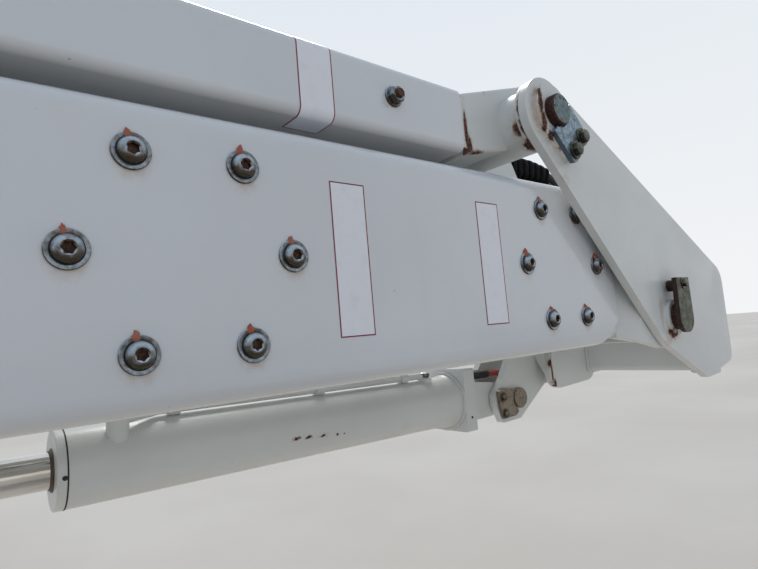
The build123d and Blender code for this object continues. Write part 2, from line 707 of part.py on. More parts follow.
# Cheek plates down to the pivot: (point, dx, dz, radius)
UPPER_CHEEK_CORNERS = [
    (upper_pivot, 0, 0, UPPER_CHEEK_RADIUS),
    ((elbow_x, upper_low_z), -40, 150, 30),
    ((elbow_x, upper_low_z), -420, 30, 30),
]
upper_tube = box_tube(
    upper_steel_start,
    mouth_low_x,
    (UPPER_Y, upper_mid_z),
    UPPER_WIDTH,
    UPPER_HEIGHT,
    UPPER_CORNER,
    UPPER_WALL,
)
upper_hub = round_bar(upper_pivot, upper_near_y, upper_far_y, UPPER_HUB_RADIUS)
upper_hole = round_bar(upper_pivot, upper_near_y, upper_far_y, upper_bore)
with BuildPart() as upper_boom_base:
    add(upper_tube.part)
    with BuildSketch(side(upper_far_y)):
        with BuildLine():
            Polyline(
                (mouth_top_x, upper_top_z),
                (mouth_low_x, upper_low_z),
                (mouth_low_x, upper_top_z),
                close=True,
            )
        make_face()
    extrude(amount=UPPER_WIDTH, mode=Mode.SUBTRACT)
    for face_y in (upper_far_y, upper_near_y + UPPER_CHEEK_THICKNESS):
        with BuildSketch(side(face_y)):
            corner_circles(UPPER_CHEEK_CORNERS)
            make_hull()
        extrude(amount=UPPER_CHEEK_THICKNESS)
    # bulkhead between the cheeks for the hoses' ends
    with BuildSketch(Plane.XY.offset(upper_pivot[1] + BULKHEAD_RISE)):
        with Locations((upper_pivot[0], UPPER_Y)):
            Rectangle(2 * BULKHEAD_HALF, UPPER_WIDTH - 2 * UPPER_CHEEK_THICKNESS)
    extrude(amount=BULKHEAD_THICKNESS)
    add(upper_hub.part)
    add(upper_hole.part, mode=Mode.SUBTRACT)
export(upper_boom_base, "upper_boom_base")

upper_inset = UPPER_WALL + SEAT
upper_shell = box_tube(
    upper_tip_x + UPPER_TIP_LENGTH / 2,
    upper_steel_start + UPPER_OVERLAP,
    (UPPER_Y, upper_mid_z),
    UPPER_WIDTH - 2 * upper_inset,
    UPPER_HEIGHT - 2 * upper_inset,
    UPPER_CORNER - UPPER_WALL,
    UPPER_SHELL_WALL,
)
export(upper_shell, "upper_shell")

tip_start_x = upper_tip_x + UPPER_TIP_START
upper_tip_tube = box_tube(
    tip_start_x,
    tip_start_x + UPPER_TIP_LENGTH,
    (UPPER_Y, upper_mid_z),
    UPPER_WIDTH,
    UPPER_HEIGHT,
    UPPER_CORNER,
    UPPER_WALL,
)
with BuildPart() as upper_tip_fitting:
    add(upper_tip_tube.part)
    with BuildSketch(side(upper_far_y)):
        with Locations((upper_tip_x, upper_mid_z)):
            Circle(UPPER_TIP_LUG)
        with Locations((tip_start_x, upper_mid_z)):
            Rectangle(UPPER_TIP_WEB, UPPER_HEIGHT)
        make_hull()
    extrude(amount=UPPER_WIDTH)
    with BuildSketch(side(upper_far_y)):
        with Locations((upper_tip_x, upper_mid_z)):
            Circle(PLATFORM_BORE_RADIUS)
    extrude(amount=UPPER_WIDTH, mode=Mode.SUBTRACT)
export(upper_tip_fitting, "upper_tip_fitting")

upper_gap = UPPER_EYE_WIDTH / 2 + OPEN_GAP
upper_foot = UPPER_WIDTH - 2 * UPPER_CORNER
upper_rod_bracket = eye_bracket(upper_eye, UPPER_Y, upper_gap, upper_low_z - SEAT, upper_foot)
export(upper_rod_bracket, "upper_rod_bracket")
upper_pin_ends = parted_pin(upper_eye, UPPER_Y, upper_gap)
export(upper_pin_ends, "upper_pin_ends")

# Hoses from inside the upper boom to the bulkhead: routes in side view (x, z) from the elbow pin
bulkhead_top = UPPER_DZ + BULKHEAD_RISE + BULKHEAD_THICKNESS
OUTER_HOSES = [
    (-400, 376), (-290, 388), (-170, 397), (-50, 403), (40, 404), (135, 389), (200, 342), (241, 270),
    (UPPER_DX + HOSE_ROW, HOSE_STRAIGHT_Z), (UPPER_DX + HOSE_ROW, bulkhead_top),
]
INNER_HOSES = [
    (-400, 350), (-290, 362), (-170, 371), (-50, 377), (38, 378), (124, 365), (180, 325), (213, 262),
    (UPPER_DX - HOSE_ROW, HOSE_STRAIGHT_Z), (UPPER_DX - HOSE_ROW, bulkhead_top),
]


def hose(route, start, y, radius):
    """Round hose along a route in side view from a start, with arcs as large as its runs allow."""
    runs = [math.dist(a, b) for a, b in zip(route, route[1:])]
    headings = [math.atan2(b[1] - a[1], b[0] - a[0]) for a, b in zip(route, route[1:])]
    radii = [
        HOSE_ARC * min(runs[i], runs[i + 1]) / math.tan(abs(headings[i + 1] - headings[i]) / 2)
        for i in range(len(runs) - 1)
    ]
    print("hose radii", [round(r) for r in radii])
    points = [(start[0] + x, y, start[1] + z) for x, z in route]
    first = Plane(origin=points[0], z_dir=(math.cos(headings[0]), 0, math.sin(headings[0])))
    with BuildPart() as piece:
        with BuildLine() as path:
            FilletPolyline(*points, radius=radii)
        with BuildSketch(first):
            Circle(radius)
        sweep(path=path.wires()[0])
    return piece


boom_hoses = [
    hose(route, elbow_pin_at, UPPER_Y + column * HOSE_SPACING, HOSE_RADIUS)
    for route in (OUTER_HOSES, INNER_HOSES)
    for column in (-1, 0, 1)
]
with BuildPart() as upper_boom_hoses:
    for piece in boom_hoses:
        add(piece.part)
export(upper_boom_hoses, "upper_boom_hoses")

# Cylinders: base pin, start of the axis, eye pin, middle plane, radii, the base lug's radius, width and rise
# to the barrel, the eye's width, and the barrel's start and end along the axis
Cylinder = namedtuple(
    "Cylinder", "base axis eye y bore outer rod lug lug_width lug_shift eye_width start end"
)
upper_cylinder = Cylinder(
    base=anchor,
    axis=upper_axis,
    eye=upper_eye,
    y=UPPER_Y,
    bore=UPPER_BORE_RADIUS,
    outer=UPPER_BARREL_RADIUS,
    rod=UPPER_ROD_RADIUS,
    lug=UPPER_LUG_RADIUS,
    lug_width=UPPER_BASE_LUG,
    lug_shift=UPPER_LUG_SHIFT,
    eye_width=UPPER_EYE_WIDTH,
    start=UPPER_BARREL_START,
    end=UPPER_BARREL_END,
)
lift_cylinder = Cylinder(
    base=lift_base,
    axis=lift_base,
    eye=lift_eye,
    y=0,
    bore=LIFT_BORE_RADIUS,
    outer=LIFT_BARREL_RADIUS,
    rod=LIFT_ROD_RADIUS,
    lug=LUG_RADIUS,
    lug_width=LIFT_LUG_WIDTH,
    lug_shift=0,
    eye_width=LIFT_LUG_WIDTH,
    start=LIFT_BARREL_START,
    end=LIFT_BARREL_END,
)


def span(cylinder):
    return math.dist(cylinder.axis, cylinder.eye)


def heading(cylinder):
    return math.atan2(cylinder.eye[1] - cylinder.axis[1], cylinder.eye[0] - cylinder.axis[0])


def across(cylinder, distance):
    """Plane across a cylinder's axis, a distance along it, facing its rod."""
    step = (math.cos(heading(cylinder)), math.sin(heading(cylinder)))
    return Plane(
        origin=(cylinder.axis[0] + step[0] * distance, cylinder.y, cylinder.axis[1] + step[1] * distance),
        x_dir=(0, 1, 0),
        z_dir=(step[0], 0, step[1]),
    )


def barrel(cylinder):
    base, y, width, angle = cylinder.base, cylinder.y, cylinder.lug_width, heading(cylinder)
    seat_x, _, seat_z = across(cylinder, cylinder.start).origin
    seat = (seat_x, seat_z + cylinder.lug_shift)
    reach = cylinder.lug - LUG_CORNER
    corner_x, corner_z = -reach * math.sin(angle), reach * math.cos(angle)
    with BuildPart() as piece:
        with BuildSketch(across(cylinder, cylinder.start)):
            Circle(cylinder.outer)
        extrude(amount=cylinder.end - cylinder.start)
        with BuildSketch(side(y + width / 2)):
            corner_circles([
                (base, 0, 0, cylinder.lug),
                (seat, corner_x, corner_z, LUG_CORNER),
                (seat, -corner_x, -corner_z, LUG_CORNER),
            ])
            make_hull()
        extrude(amount=width)
        with BuildSketch(side(y + width / 2)):
            with Locations(base):
                Circle(cyl_bore)
        extrude(amount=width, mode=Mode.SUBTRACT)
        with BuildSketch(across(cylinder, cylinder.start + BARREL_END_WALL)):
            Circle(cylinder.bore)
        extrude(amount=cylinder.end - cylinder.start - BARREL_END_WALL, mode=Mode.SUBTRACT)
    return piece


def gland(cylinder):
    """Ring on the barrel's end, with its sleeve inside the bore."""
    sleeve = (cylinder.end - GLAND_LENGTH, GLAND_LENGTH, cylinder.bore - RUNNING)
    ring = (cylinder.end, GLAND_RING, cylinder.outer)
    with BuildPart() as piece:
        for start, length, radius in (sleeve, ring):
            with BuildSketch(across(cylinder, start)):
                Circle(radius)
                Circle(cylinder.rod + RUNNING, mode=Mode.SUBTRACT)
            extrude(amount=length)
        chamfer(piece.edges().filter_by(GeomType.CIRCLE).group_by(SortBy.RADIUS)[-1], GLAND_CHAMFER)
    return piece


def rod(cylinder):
    eye, y, width = cylinder.eye, cylinder.y, cylinder.eye_width
    piston_start = cylinder.start + BARREL_END_WALL + PISTON_GAP
    collar_start = span(cylinder) - LUG_RADIUS - ROD_COLLAR_LENGTH
    with BuildPart() as piece:
        with BuildSketch(across(cylinder, piston_start)):
            Circle(cylinder.bore - RUNNING)
        extrude(amount=PISTON_LENGTH)
        with BuildSketch(across(cylinder, piston_start)):
            Circle(cylinder.rod)
        extrude(amount=span(cylinder) - piston_start)
        with BuildSketch(across(cylinder, collar_start)):
            Circle(cylinder.rod + ROD_COLLAR)
        extrude(amount=ROD_COLLAR_LENGTH + LUG_RADIUS / 4)
        with BuildSketch(side(y + width / 2)):
            with Locations(eye):
                Circle(LUG_RADIUS)
        extrude(amount=width)
        reach = max(width, 2 * cylinder.rod)
        with BuildSketch(side(y + reach / 2)):
            with Locations(eye):
                Circle(cyl_bore)
        extrude(amount=reach, mode=Mode.SUBTRACT)
    return piece


# Upper barrel with its square end block, and a port block on the lug's nose
port_block_at = (anchor[0] + PORT_BLOCK_DX, anchor[1] + PORT_BLOCK_DZ)
plain_barrel = barrel(upper_cylinder)
port_block_hole = round_bar(anchor, UPPER_Y - PORT_BLOCK[1] / 2, UPPER_Y + PORT_BLOCK[1] / 2, cyl_bore)
with BuildPart() as upper_barrel:
    add(plain_barrel.part)
    # this plane's own Y points down
    with BuildSketch(across(upper_cylinder, UPPER_BARREL_START)):
        with Locations((0, -BLOCK_RISE)):
            RectangleRounded(BLOCK_WIDTH, BLOCK_HEIGHT, BLOCK_CORNER)
    extrude(amount=BLOCK_LENGTH)
    with BuildSketch(Plane.XY.offset(port_block_at[1] - PORT_BLOCK[2] / 2)):
        with Locations((port_block_at[0], UPPER_Y)):
            RectangleRounded(PORT_BLOCK[0], PORT_BLOCK[1], BLOCK_CORNER)
    extrude(amount=PORT_BLOCK[2])
    add(port_block_hole.part, mode=Mode.SUBTRACT)
export(upper_barrel, "upper_barrel")
upper_gland = gland(upper_cylinder)
export(upper_gland, "upper_gland")
upper_rod = rod(upper_cylinder)
export(upper_rod, "upper_rod")
eye_half = UPPER_EYE_WIDTH / 2
upper_rod_pin = cross_pin(upper_eye, UPPER_Y - eye_half, UPPER_Y + eye_half, CYL_PIN_RADIUS)
export(upper_rod_pin, "upper_rod_pin")

# Two hoses from the end block over the lug to the port block, routes in side view from the anchor pin
port_top = PORT_BLOCK_DZ + PORT_BLOCK[2] / 2
block_face_x = -(UPPER_BARREL_START - (PORT_HOSE_RISE - UPPER_AXIS_RISE) * math.sin(slope)) / math.cos(slope)
PORT_HOSE_ROUTE = [
    (block_face_x + SEAT, PORT_HOSE_RISE), (-85, 59), (-30, 57), (6, 54.5),
    (26, 46), (38.5, 32.5), (44, 15.5), (44, port_top + SEAT),
]
PORT_HOSE_COLUMNS = [("port_hose_red", -PORT_HOSE_OFFSET), ("port_hose_black", PORT_HOSE_OFFSET)]
for label, offset in PORT_HOSE_COLUMNS:
    port_hose = hose(PORT_HOSE_ROUTE, anchor, UPPER_Y + offset, PORT_HOSE_RADIUS)
    export(port_hose, label)

lift_barrel = barrel(lift_cylinder)
export(lift_barrel, "lift_barrel")
lift_gland = gland(lift_cylinder)
export(lift_gland, "lift_gland")
lift_rod = rod(lift_cylinder)
export(lift_rod, "lift_rod")
lift_rod_pin = cross_pin(lift_eye, -LIFT_LUG_WIDTH / 2, LIFT_LUG_WIDTH / 2, CYL_PIN_RADIUS)
export(lift_rod_pin, "lift_rod_pin")

# Turret
with BuildPart() as turret_base_plate:
    with BuildSketch(Plane.XY):
        Circle(BASE_RADIUS)
        Circle(BASE_OPENING_RADIUS, mode=Mode.SUBTRACT)
        with PolarLocations(BOLT_CIRCLE_RADIUS, BOLT_COUNT):
            Circle(BOLT_HOLE_RADIUS, mode=Mode.SUBTRACT)
    extrude(amount=BASE_THICKNESS)
export(turret_base_plate, "turret_base_plate")

web_low_z = BASE_THICKNESS + SEAT
toe_line = (0.0, web_low_z)
CHEEK_CORNERS = [
    (boom_pivot, 0, 0, CHEEK_BOOM_RADIUS),
    (link_pivot, 0, 0, CHEEK_LINK_RADIUS),
    (toe_line, CHEEK_REAR_TOE, CHEEK_TOE_RADIUS, CHEEK_TOE_RADIUS),
    (toe_line, CHEEK_FRONT_TOE, CHEEK_TOE_RADIUS, CHEEK_TOE_RADIUS),
    (lift_base, CHEEK_NOSE[0], CHEEK_NOSE[1], CHEEK_TOE_RADIUS),
]  # columns: point, dx, dz, radius
for label, y_high in (("turret_near_cheek", -PLATE_INNER), ("turret_far_cheek", plate_outer)):
    with BuildPart() as cheek:
        with BuildSketch(side(y_high)):
            corner_circles(CHEEK_CORNERS)
            make_hull()
        extrude(amount=PLATE_THICKNESS)
        with BuildSketch(side(y_high)):
            with Locations(boom_pivot, link_pivot):
                Circle(bore)
            with Locations(lift_base):
                Circle(cyl_bore)
        extrude(amount=PLATE_THICKNESS, mode=Mode.SUBTRACT)
    export(cheek, label)

with BuildPart() as turret_web:
    for web_x, web_height in (REAR_WEB, FRONT_WEB):
        with BuildSketch(Plane.YZ.offset(web_x)):
            with Locations((0, web_low_z + web_height / 2)):
                Rectangle(2 * (PLATE_INNER - SEAT), web_height)
        extrude(amount=WEB_THICKNESS)
export(turret_web, "turret_web")

near_pin_end = -plate_outer - PIN_SHOW
boom_pivot_pin = cross_pin(boom_pivot, near_pin_end, pin_back, PIN_RADIUS)
export(boom_pivot_pin, "boom_pivot_pin")
link_pivot_pin = cross_pin(link_pivot, near_pin_end, pin_back, PIN_RADIUS)
export(link_pivot_pin, "link_pivot_pin")
lift_base_pin = cross_pin(lift_base, near_pin_end, pin_back, CYL_PIN_RADIUS)
export(lift_base_pin, "lift_base_pin")
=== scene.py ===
import math

import bpy
from mathutils import Matrix, Vector, noise


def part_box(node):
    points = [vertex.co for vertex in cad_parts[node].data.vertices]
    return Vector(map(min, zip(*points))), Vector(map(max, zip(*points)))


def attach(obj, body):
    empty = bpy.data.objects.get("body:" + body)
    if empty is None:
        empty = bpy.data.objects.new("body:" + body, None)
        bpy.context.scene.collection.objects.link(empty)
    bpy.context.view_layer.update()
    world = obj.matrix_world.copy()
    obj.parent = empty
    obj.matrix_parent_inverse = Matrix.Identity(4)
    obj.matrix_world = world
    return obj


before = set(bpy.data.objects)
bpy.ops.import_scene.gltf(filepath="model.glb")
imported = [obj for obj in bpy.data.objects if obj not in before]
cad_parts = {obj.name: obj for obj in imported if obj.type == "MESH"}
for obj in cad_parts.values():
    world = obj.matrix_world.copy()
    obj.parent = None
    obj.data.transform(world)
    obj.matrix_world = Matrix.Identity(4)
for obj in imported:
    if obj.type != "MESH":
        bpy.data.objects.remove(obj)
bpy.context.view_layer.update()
MM = 0.001

# Camera, fitted to the photograph's edges and bolts
FOCAL_PIXELS = 524.8
IMAGE_WIDTH = 758
SENSOR_WIDTH = 36.0
NEAREST = 0.02
FURTHEST = 100.0
YAW = math.radians(39.48)
PITCH = math.radians(5.27)
ROLL = math.radians(-4.89)
CAMERA_AT = Vector((2.5302, -0.5718, 0.6674))


def make_camera():
    forward = Vector((math.sin(YAW) * math.cos(PITCH), math.cos(YAW) * math.cos(PITCH), math.sin(PITCH)))
    level_right = Vector((math.cos(YAW), -math.sin(YAW), 0.0))
    level_up = level_right.cross(forward)
    right = math.cos(ROLL) * level_right + math.sin(ROLL) * level_up
    up = -math.sin(ROLL) * level_right + math.cos(ROLL) * level_up
    data = bpy.data.cameras.new("camera")
    data.sensor_width = SENSOR_WIDTH
    data.lens = FOCAL_PIXELS / IMAGE_WIDTH * SENSOR_WIDTH
    data.clip_start = NEAREST
    data.clip_end = FURTHEST
    camera = bpy.data.objects.new("camera", data)
    turn = Matrix((right, up, -forward)).transposed().to_4x4()
    camera.matrix_world = Matrix.Translation(CAMERA_AT) @ turn
    bpy.context.scene.collection.objects.link(camera)
    bpy.context.scene.camera = camera


make_camera()

# Places, in millimetres from the elbow pin's middle unless a name says otherwise


def middle(node):
    low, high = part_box(node)
    return (low + high) / 2


elbow = middle("elbow_pin")
elbow.y = 0.0


def place(x, y, z):
    """Point in the frame's metres from millimetres beside the elbow pin."""
    return elbow + Vector((x, y, z)) * MM


def local(point):
    """Millimetres from the elbow pin's middle of a point in the frame."""
    return (point - elbow) / MM


shell_low, shell_high = (local(corner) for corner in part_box("boom_shell"))
link_low, link_high = (local(corner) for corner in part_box("link_shell"))
upper_low, upper_high = (local(corner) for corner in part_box("upper_tip_fitting"))
steel_low, steel_high = (local(corner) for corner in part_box("upper_boom_base"))
BOOM_FACE = shell_high.y
BOOM_MID_Z = (shell_low.z + shell_high.z) / 2
BOOM_SIZE = (2 * BOOM_FACE, shell_high.z - shell_low.z)
LINK_FACE = link_high.y
LINK_MID_Z = (link_low.z + link_high.z) / 2
LINK_SIZE = (2 * LINK_FACE, link_high.z - link_low.z)
LINK_CORNER = 12.0
LINK_PIN = (-356.0, 342.0)
ANCHOR = (-130.0, -149.5)
UPPER_Y = local(middle("upper_shell")).y
UPPER_SIZE = (upper_high.y - upper_low.y, upper_high.z - upper_low.z)
BARREL_SLOPE = math.radians(1.4)
BARREL_RISE = 12.0  # of the barrel's axis over its pin
BARREL_AXIS = (ANCHOR[0], ANCHOR[1] + BARREL_RISE)

# Colours as they are seen in plain daylight
PAINT_WHITE = (0.73, 0.745, 0.73, 1.0)
GELCOAT_WHITE = (0.70, 0.72, 0.745, 1.0)
DUST = (0.60, 0.53, 0.43, 1.0)
RUST_DARK = (0.030, 0.011, 0.008, 1.0)
RUST_BROWN = (0.165, 0.058, 0.030, 1.0)
RUST_TAN = (0.47, 0.30, 0.17, 1.0)
# Zinc's two colours are painted light: its blue tint with a painted sky highlight for what faces up, and
# brown painted shade for what faces down.
ZINC_BLUE_LIT = (0.36, 0.43, 0.50, 1.0)
ZINC_BROWN_SHADED = (0.085, 0.068, 0.048, 1.0)
OLIVE = (0.085, 0.095, 0.055, 1.0)
BLACK = (0.012, 0.012, 0.013, 1.0)
SOIL = (0.36, 0.31, 0.27, 1.0)
NICK_GREY = (0.20, 0.19, 0.18, 1.0)
CHROME = (0.66, 0.64, 0.60, 1.0)
CHROME_HAZE = (0.46, 0.42, 0.36, 1.0)
LABEL_WHITE = (0.84, 0.85, 0.90, 1.0)
LABEL_RED = (0.21, 0.008, 0.02, 1.0)
MARK_ORANGE = (0.36, 0.088, 0.040, 1.0)
HOSE_RED = (0.45, 0.045, 0.035, 1.0)

HALO_REACH = 1.7  # reach of the tan halo round rust, as a multiple of the rust's own


class Recipe:
    """Node tree of one material, with its coordinates and shader at hand."""

    def __init__(self, name, roughness, metallic=0.0):
        self.material = bpy.data.materials.new(name)
        self.material.use_nodes = True
        self.tree = self.material.node_tree
        self.shader = self.tree.nodes["Principled BSDF"]
        self.shader.inputs["Metallic"].default_value = metallic
        self.shader.inputs["Roughness"].default_value = roughness
        coords = self.tree.nodes.new("ShaderNodeTexCoord")
        self.coords = coords.outputs["Object"]
        split = self.tree.nodes.new("ShaderNodeSeparateXYZ")
        self.feed(split.inputs[0], coords.outputs["Normal"])
        self.rise = split.outputs["Z"]
        self.depth = split.outputs["Y"]

    def feed(self, socket, value):
        if isinstance(value, bpy.types.NodeSocket):
            self.tree.links.new(value, socket)
        else:
            socket.default_value = value

    def math(self, operation, first, second=0.0):
        node = self.tree.nodes.new("ShaderNodeMath")
        node.operation = operation
        self.feed(node.inputs[0], first)
        self.feed(node.inputs[1], second)
        return node.outputs[0]

    def vector(self, operation, first, second=(0.0, 0.0, 0.0)):
        node = self.tree.nodes.new("ShaderNodeVectorMath")
        node.operation = operation
        self.feed(node.inputs[0], first)
        self.feed(node.inputs[1], second)
        return node.outputs["Value" if operation == "LENGTH" else "Vector"]

    def noise(self, scale, detail=3.0, stretch=None):
        """Noise from 0 to 1, scale in cycles per metre, stretched by a factor along each axis."""
        coords = self.vector("MULTIPLY", self.coords, stretch) if stretch else self.coords
        node = self.tree.nodes.new("ShaderNodeTexNoise")
        self.feed(node.inputs["Vector"], coords)
        node.inputs["Scale"].default_value = scale
        node.inputs["Detail"].default_value = detail
        return node.outputs[0]

    def step(self, value, low, high, start=0.0, end=1.0):
        """Smooth step of a value from start at low to end at high."""
        node = self.tree.nodes.new("ShaderNodeMapRange")
        node.interpolation_type = "SMOOTHSTEP"
        self.feed(node.inputs["Value"], value)
        node.inputs["From Min"].default_value = low
        node.inputs["From Max"].default_value = high
        node.inputs["To Min"].default_value = start
        node.inputs["To Max"].default_value = end
        return node.outputs["Result"]

    def blend(self, mask, first, second):
        node = self.tree.nodes.new("ShaderNodeMix")
        node.data_type = "RGBA"
        self.feed(node.inputs[0], mask)
        self.feed(node.inputs[6], first)
        self.feed(node.inputs[7], second)
        return node.outputs[2]

    def spots(self, rows, ragged=0.8, edge=(1.0, 0.55)):
        """Mask of ragged ellipsoids, each row (centre, radii) in millimetres from the elbow pin."""
        nearest = None
        for centre, radii in rows:
            offset = self.vector("SUBTRACT", self.coords, tuple(place(*centre)))
            reach = self.vector("LENGTH", self.vector("DIVIDE", offset, tuple(r * MM for r in radii)))
            nearest = reach if nearest is None else self.math("MINIMUM", nearest, reach)
        speckle = self.math("MULTIPLY", self.math("SUBTRACT", self.noise(140.0, 6.0), 0.5), ragged * 2.0)
        return self.step(self.math("ADD", nearest, speckle), edge[0], edge[1])

    def rust(self, colour, rows, ragged=0.8):
        """Lays a tan halo and then broken rust over a colour, and returns both the colour and the mask."""
        if not rows:
            return colour, None
        wider = [(centre, tuple(r * HALO_REACH for r in radii)) for centre, radii in rows]
        halo = self.spots(wider, ragged, (1.0, 0.2))
        mask = self.spots(rows, ragged)
        grain = self.step(self.noise(260.0, 4.0), 0.42, 0.60)
        rusty = self.blend(grain, RUST_DARK, RUST_BROWN)
        stained = self.blend(self.math("MULTIPLY", halo, 0.45), colour, RUST_TAN)
        return self.blend(mask, stained, rusty), mask

    def bump(self, height, strength, distance=0.001):
        node = self.tree.nodes.new("ShaderNodeBump")
        node.inputs["Strength"].default_value = strength
        node.inputs["Distance"].default_value = distance
        self.feed(node.inputs["Height"], height)
        self.feed(self.shader.inputs["Normal"], node.outputs["Normal"])

    def finish(self, colour, roughness=None):
        self.feed(self.shader.inputs["Base Color"], colour)
        if roughness is not None:
            self.feed(self.shader.inputs["Roughness"], roughness)
        return self.material


def weathered(recipe, colour, shade, dusting=0.5):
    """Uneven whiteness, a warm painted shade on what faces down, and faint streaks of dust that run down."""
    cloudy = recipe.step(recipe.noise(5.0, 5.0), 0.35, 0.70)
    darker = tuple(c * shade for c in colour[:3]) + (1.0,)
    base = recipe.blend(cloudy, colour, darker)
    # Painted shade: down-facing faces are tinted warmer and darker towards the dust colour.
    painted_under_shade = recipe.math("MULTIPLY", recipe.step(recipe.rise, -0.35, -0.95), 0.30)
    base = recipe.blend(painted_under_shade, base, DUST)
    streaks = recipe.step(recipe.noise(26.0, 6.0, (1.0, 1.0, 0.16)), 0.56, 0.80, 0.0, 0.30 * dusting)
    return recipe.blend(streaks, base, DUST)


def paint(name, rusty=(), ragged=0.8, stains=()):
    """White enamel over steel: orange peel, small chips, and rust and tan stains where the rows say."""
    recipe = Recipe(name, 0.36)
    base = weathered(recipe, PAINT_WHITE, 0.92)
    chips = recipe.step(recipe.noise(75.0, 8.0), 0.735, 0.76, 0.0, 0.8)
    base = recipe.blend(chips, base, RUST_TAN)
    if stains:
        tan = recipe.math("MULTIPLY", recipe.spots(stains, 0.5, (1.0, 0.1)), 0.5)
        base = recipe.blend(tan, base, RUST_TAN)
    base, mask = recipe.rust(base, rusty, ragged)
    rough = recipe.step(recipe.noise(14.0, 4.0), 0.3, 0.7, 0.28, 0.44)
    height = recipe.math("MULTIPLY", recipe.noise(240.0, 2.0), 0.35)
    if mask is not None:
        rough = recipe.math("MAXIMUM", rough, recipe.math("MULTIPLY", mask, 0.85))
        height = recipe.math("ADD", height, recipe.math("MULTIPLY", mask, recipe.noise(420.0, 5.0)))
    recipe.bump(height, 0.35)
    return recipe.finish(base, rough)


def gelcoat(name, halos=()):
    """Glossy glass fibre skin with tiny dark nicks and faint stains under its bolts."""
    recipe = Recipe(name, 0.17)
    recipe.shader.inputs["Coat Weight"].default_value = 0.4
    recipe.shader.inputs["Coat Roughness"].default_value = 0.08
    base = weathered(recipe, GELCOAT_WHITE, 0.955, 0.25)
    nicks = recipe.step(recipe.noise(120.0, 10.0, (1.0, 1.0, 0.6)), 0.755, 0.775, 0.0, 0.75)
    base = recipe.blend(nicks, base, NICK_GREY)
    if halos:
        stain = recipe.math("MULTIPLY", recipe.spots(halos, 0.35, (1.0, 0.1)), 0.55)
        base = recipe.blend(stain, base, RUST_TAN)
    weave = recipe.math("ADD", recipe.noise(30.0, 2.0, (0.25, 1.0, 1.0)), recipe.noise(300.0, 2.0))
    recipe.bump(weave, 0.10)
    rough = recipe.step(recipe.noise(9.0, 4.0), 0.35, 0.70, 0.12, 0.26)
    return recipe.finish(base, rough)


def chrome(name, eye, eye_radius):
    """Polished rod with fine lines along it, whose welded eye is painted."""
    recipe = Recipe(name, 0.1)
    offset = recipe.vector("MULTIPLY", recipe.vector("SUBTRACT", recipe.coords, tuple(eye)), (1.0, 0.0, 1.0))
    painted = recipe.step(recipe.vector("LENGTH", offset), eye_radius + 0.0005, eye_radius - 0.0005)
    haze = recipe.step(recipe.noise(30.0, 5.0, (0.3, 1.0, 1.0)), 0.45, 0.75)
    metal = recipe.blend(haze, CHROME, CHROME_HAZE)
    colour = recipe.blend(painted, metal, PAINT_WHITE)
    recipe.feed(recipe.shader.inputs["Metallic"], recipe.math("SUBTRACT", 1.0, painted))
    fine = recipe.step(recipe.noise(60.0, 4.0, (0.15, 1.0, 1.0)), 0.3, 0.8, 0.07, 0.24)
    recipe.bump(recipe.noise(500.0, 2.0, (0.2, 1.0, 1.0)), 0.05)
    return recipe.finish(colour, recipe.math("MAXIMUM", fine, recipe.math("MULTIPLY", painted, 0.36)))


def tarnished(name, lit_metal_colour, shaded_metal_colour, rusted=0.0, metallic=0.85, roughness=(0.24, 0.5)):
    """Bare or plated steel with painted light: painted shade on what faces down and a painted highlight on
    what faces up, with rust that spreads by its share.
    """
    recipe = Recipe(name, roughness[0], metallic)
    # Painted light: up-facing faces take the first colour as a painted highlight, down-facing faces the
    # second as painted shade.
    painted_light_mask = recipe.step(recipe.math("ADD", recipe.rise, recipe.noise(220.0, 4.0)), 0.1, 1.0)
    base = recipe.blend(painted_light_mask, shaded_metal_colour, lit_metal_colour)
    patches = recipe.step(recipe.noise(95.0, 7.0), 0.72 - 0.42 * rusted, 0.60 - 0.40 * rusted, 1.0, 0.0)
    grain = recipe.blend(recipe.step(recipe.noise(420.0, 4.0), 0.4, 0.6), RUST_DARK, RUST_BROWN)
    base = recipe.blend(recipe.math("MULTIPLY", patches, min(1.0, 0.35 + rusted)), base, grain)
    recipe.bump(recipe.noise(380.0, 5.0), 0.12 + 0.4 * rusted)
    rough = recipe.step(recipe.noise(130.0, 4.0), 0.35, 0.65, roughness[0], roughness[1])
    return recipe.finish(base, recipe.math("MAXIMUM", rough, recipe.math("MULTIPLY", patches, 0.75 * rusted)))


def worn_end(name, face, upper_face, side, split_z):
    """Pin or flag with rusty sides, whose near face has one colour below split_z and another above it."""
    recipe = Recipe(name, 0.5, 0.35)
    grain = recipe.blend(recipe.step(recipe.noise(300.0, 5.0), 0.52, 0.74), side, RUST_BROWN)
    height = recipe.vector("SUBTRACT", recipe.coords, tuple(place(0.0, 0.0, split_z)))
    split = recipe.tree.nodes.new("ShaderNodeSeparateXYZ")
    recipe.feed(split.inputs[0], height)
    upper = recipe.step(recipe.math("ADD", split.outputs["Z"], recipe.noise(60.0, 3.0)), 0.49, 0.51)
    ends = recipe.blend(upper, face, upper_face)
    specks = recipe.step(recipe.noise(170.0, 7.0), 0.58, 0.66)
    ends = recipe.blend(specks, ends, grain)
    faces = recipe.step(recipe.depth, -0.75, -0.95)
    recipe.bump(recipe.noise(420.0, 5.0), 0.3)
    rough = recipe.step(recipe.noise(110.0, 4.0), 0.3, 0.7, 0.4, 0.7)
    return recipe.finish(recipe.blend(faces, grain, ends), rough)


def rubber(name, colour, dusting=0.35, gloss=0.5):
    """Hose cover with fine cloth marks and dust along its top."""
    recipe = Recipe(name, 0.6)
    recipe.shader.inputs["Specular IOR Level"].default_value = gloss
    top = recipe.math("MULTIPLY", recipe.step(recipe.rise, 0.2, 1.0), recipe.noise(60.0, 6.0))
    base = recipe.blend(recipe.math("MULTIPLY", top, dusting), colour, DUST)
    recipe.bump(recipe.noise(900.0, 3.0), 0.25)
    return recipe.finish(base, recipe.step(recipe.noise(80.0, 4.0), 0.3, 0.7, 0.45, 0.7))


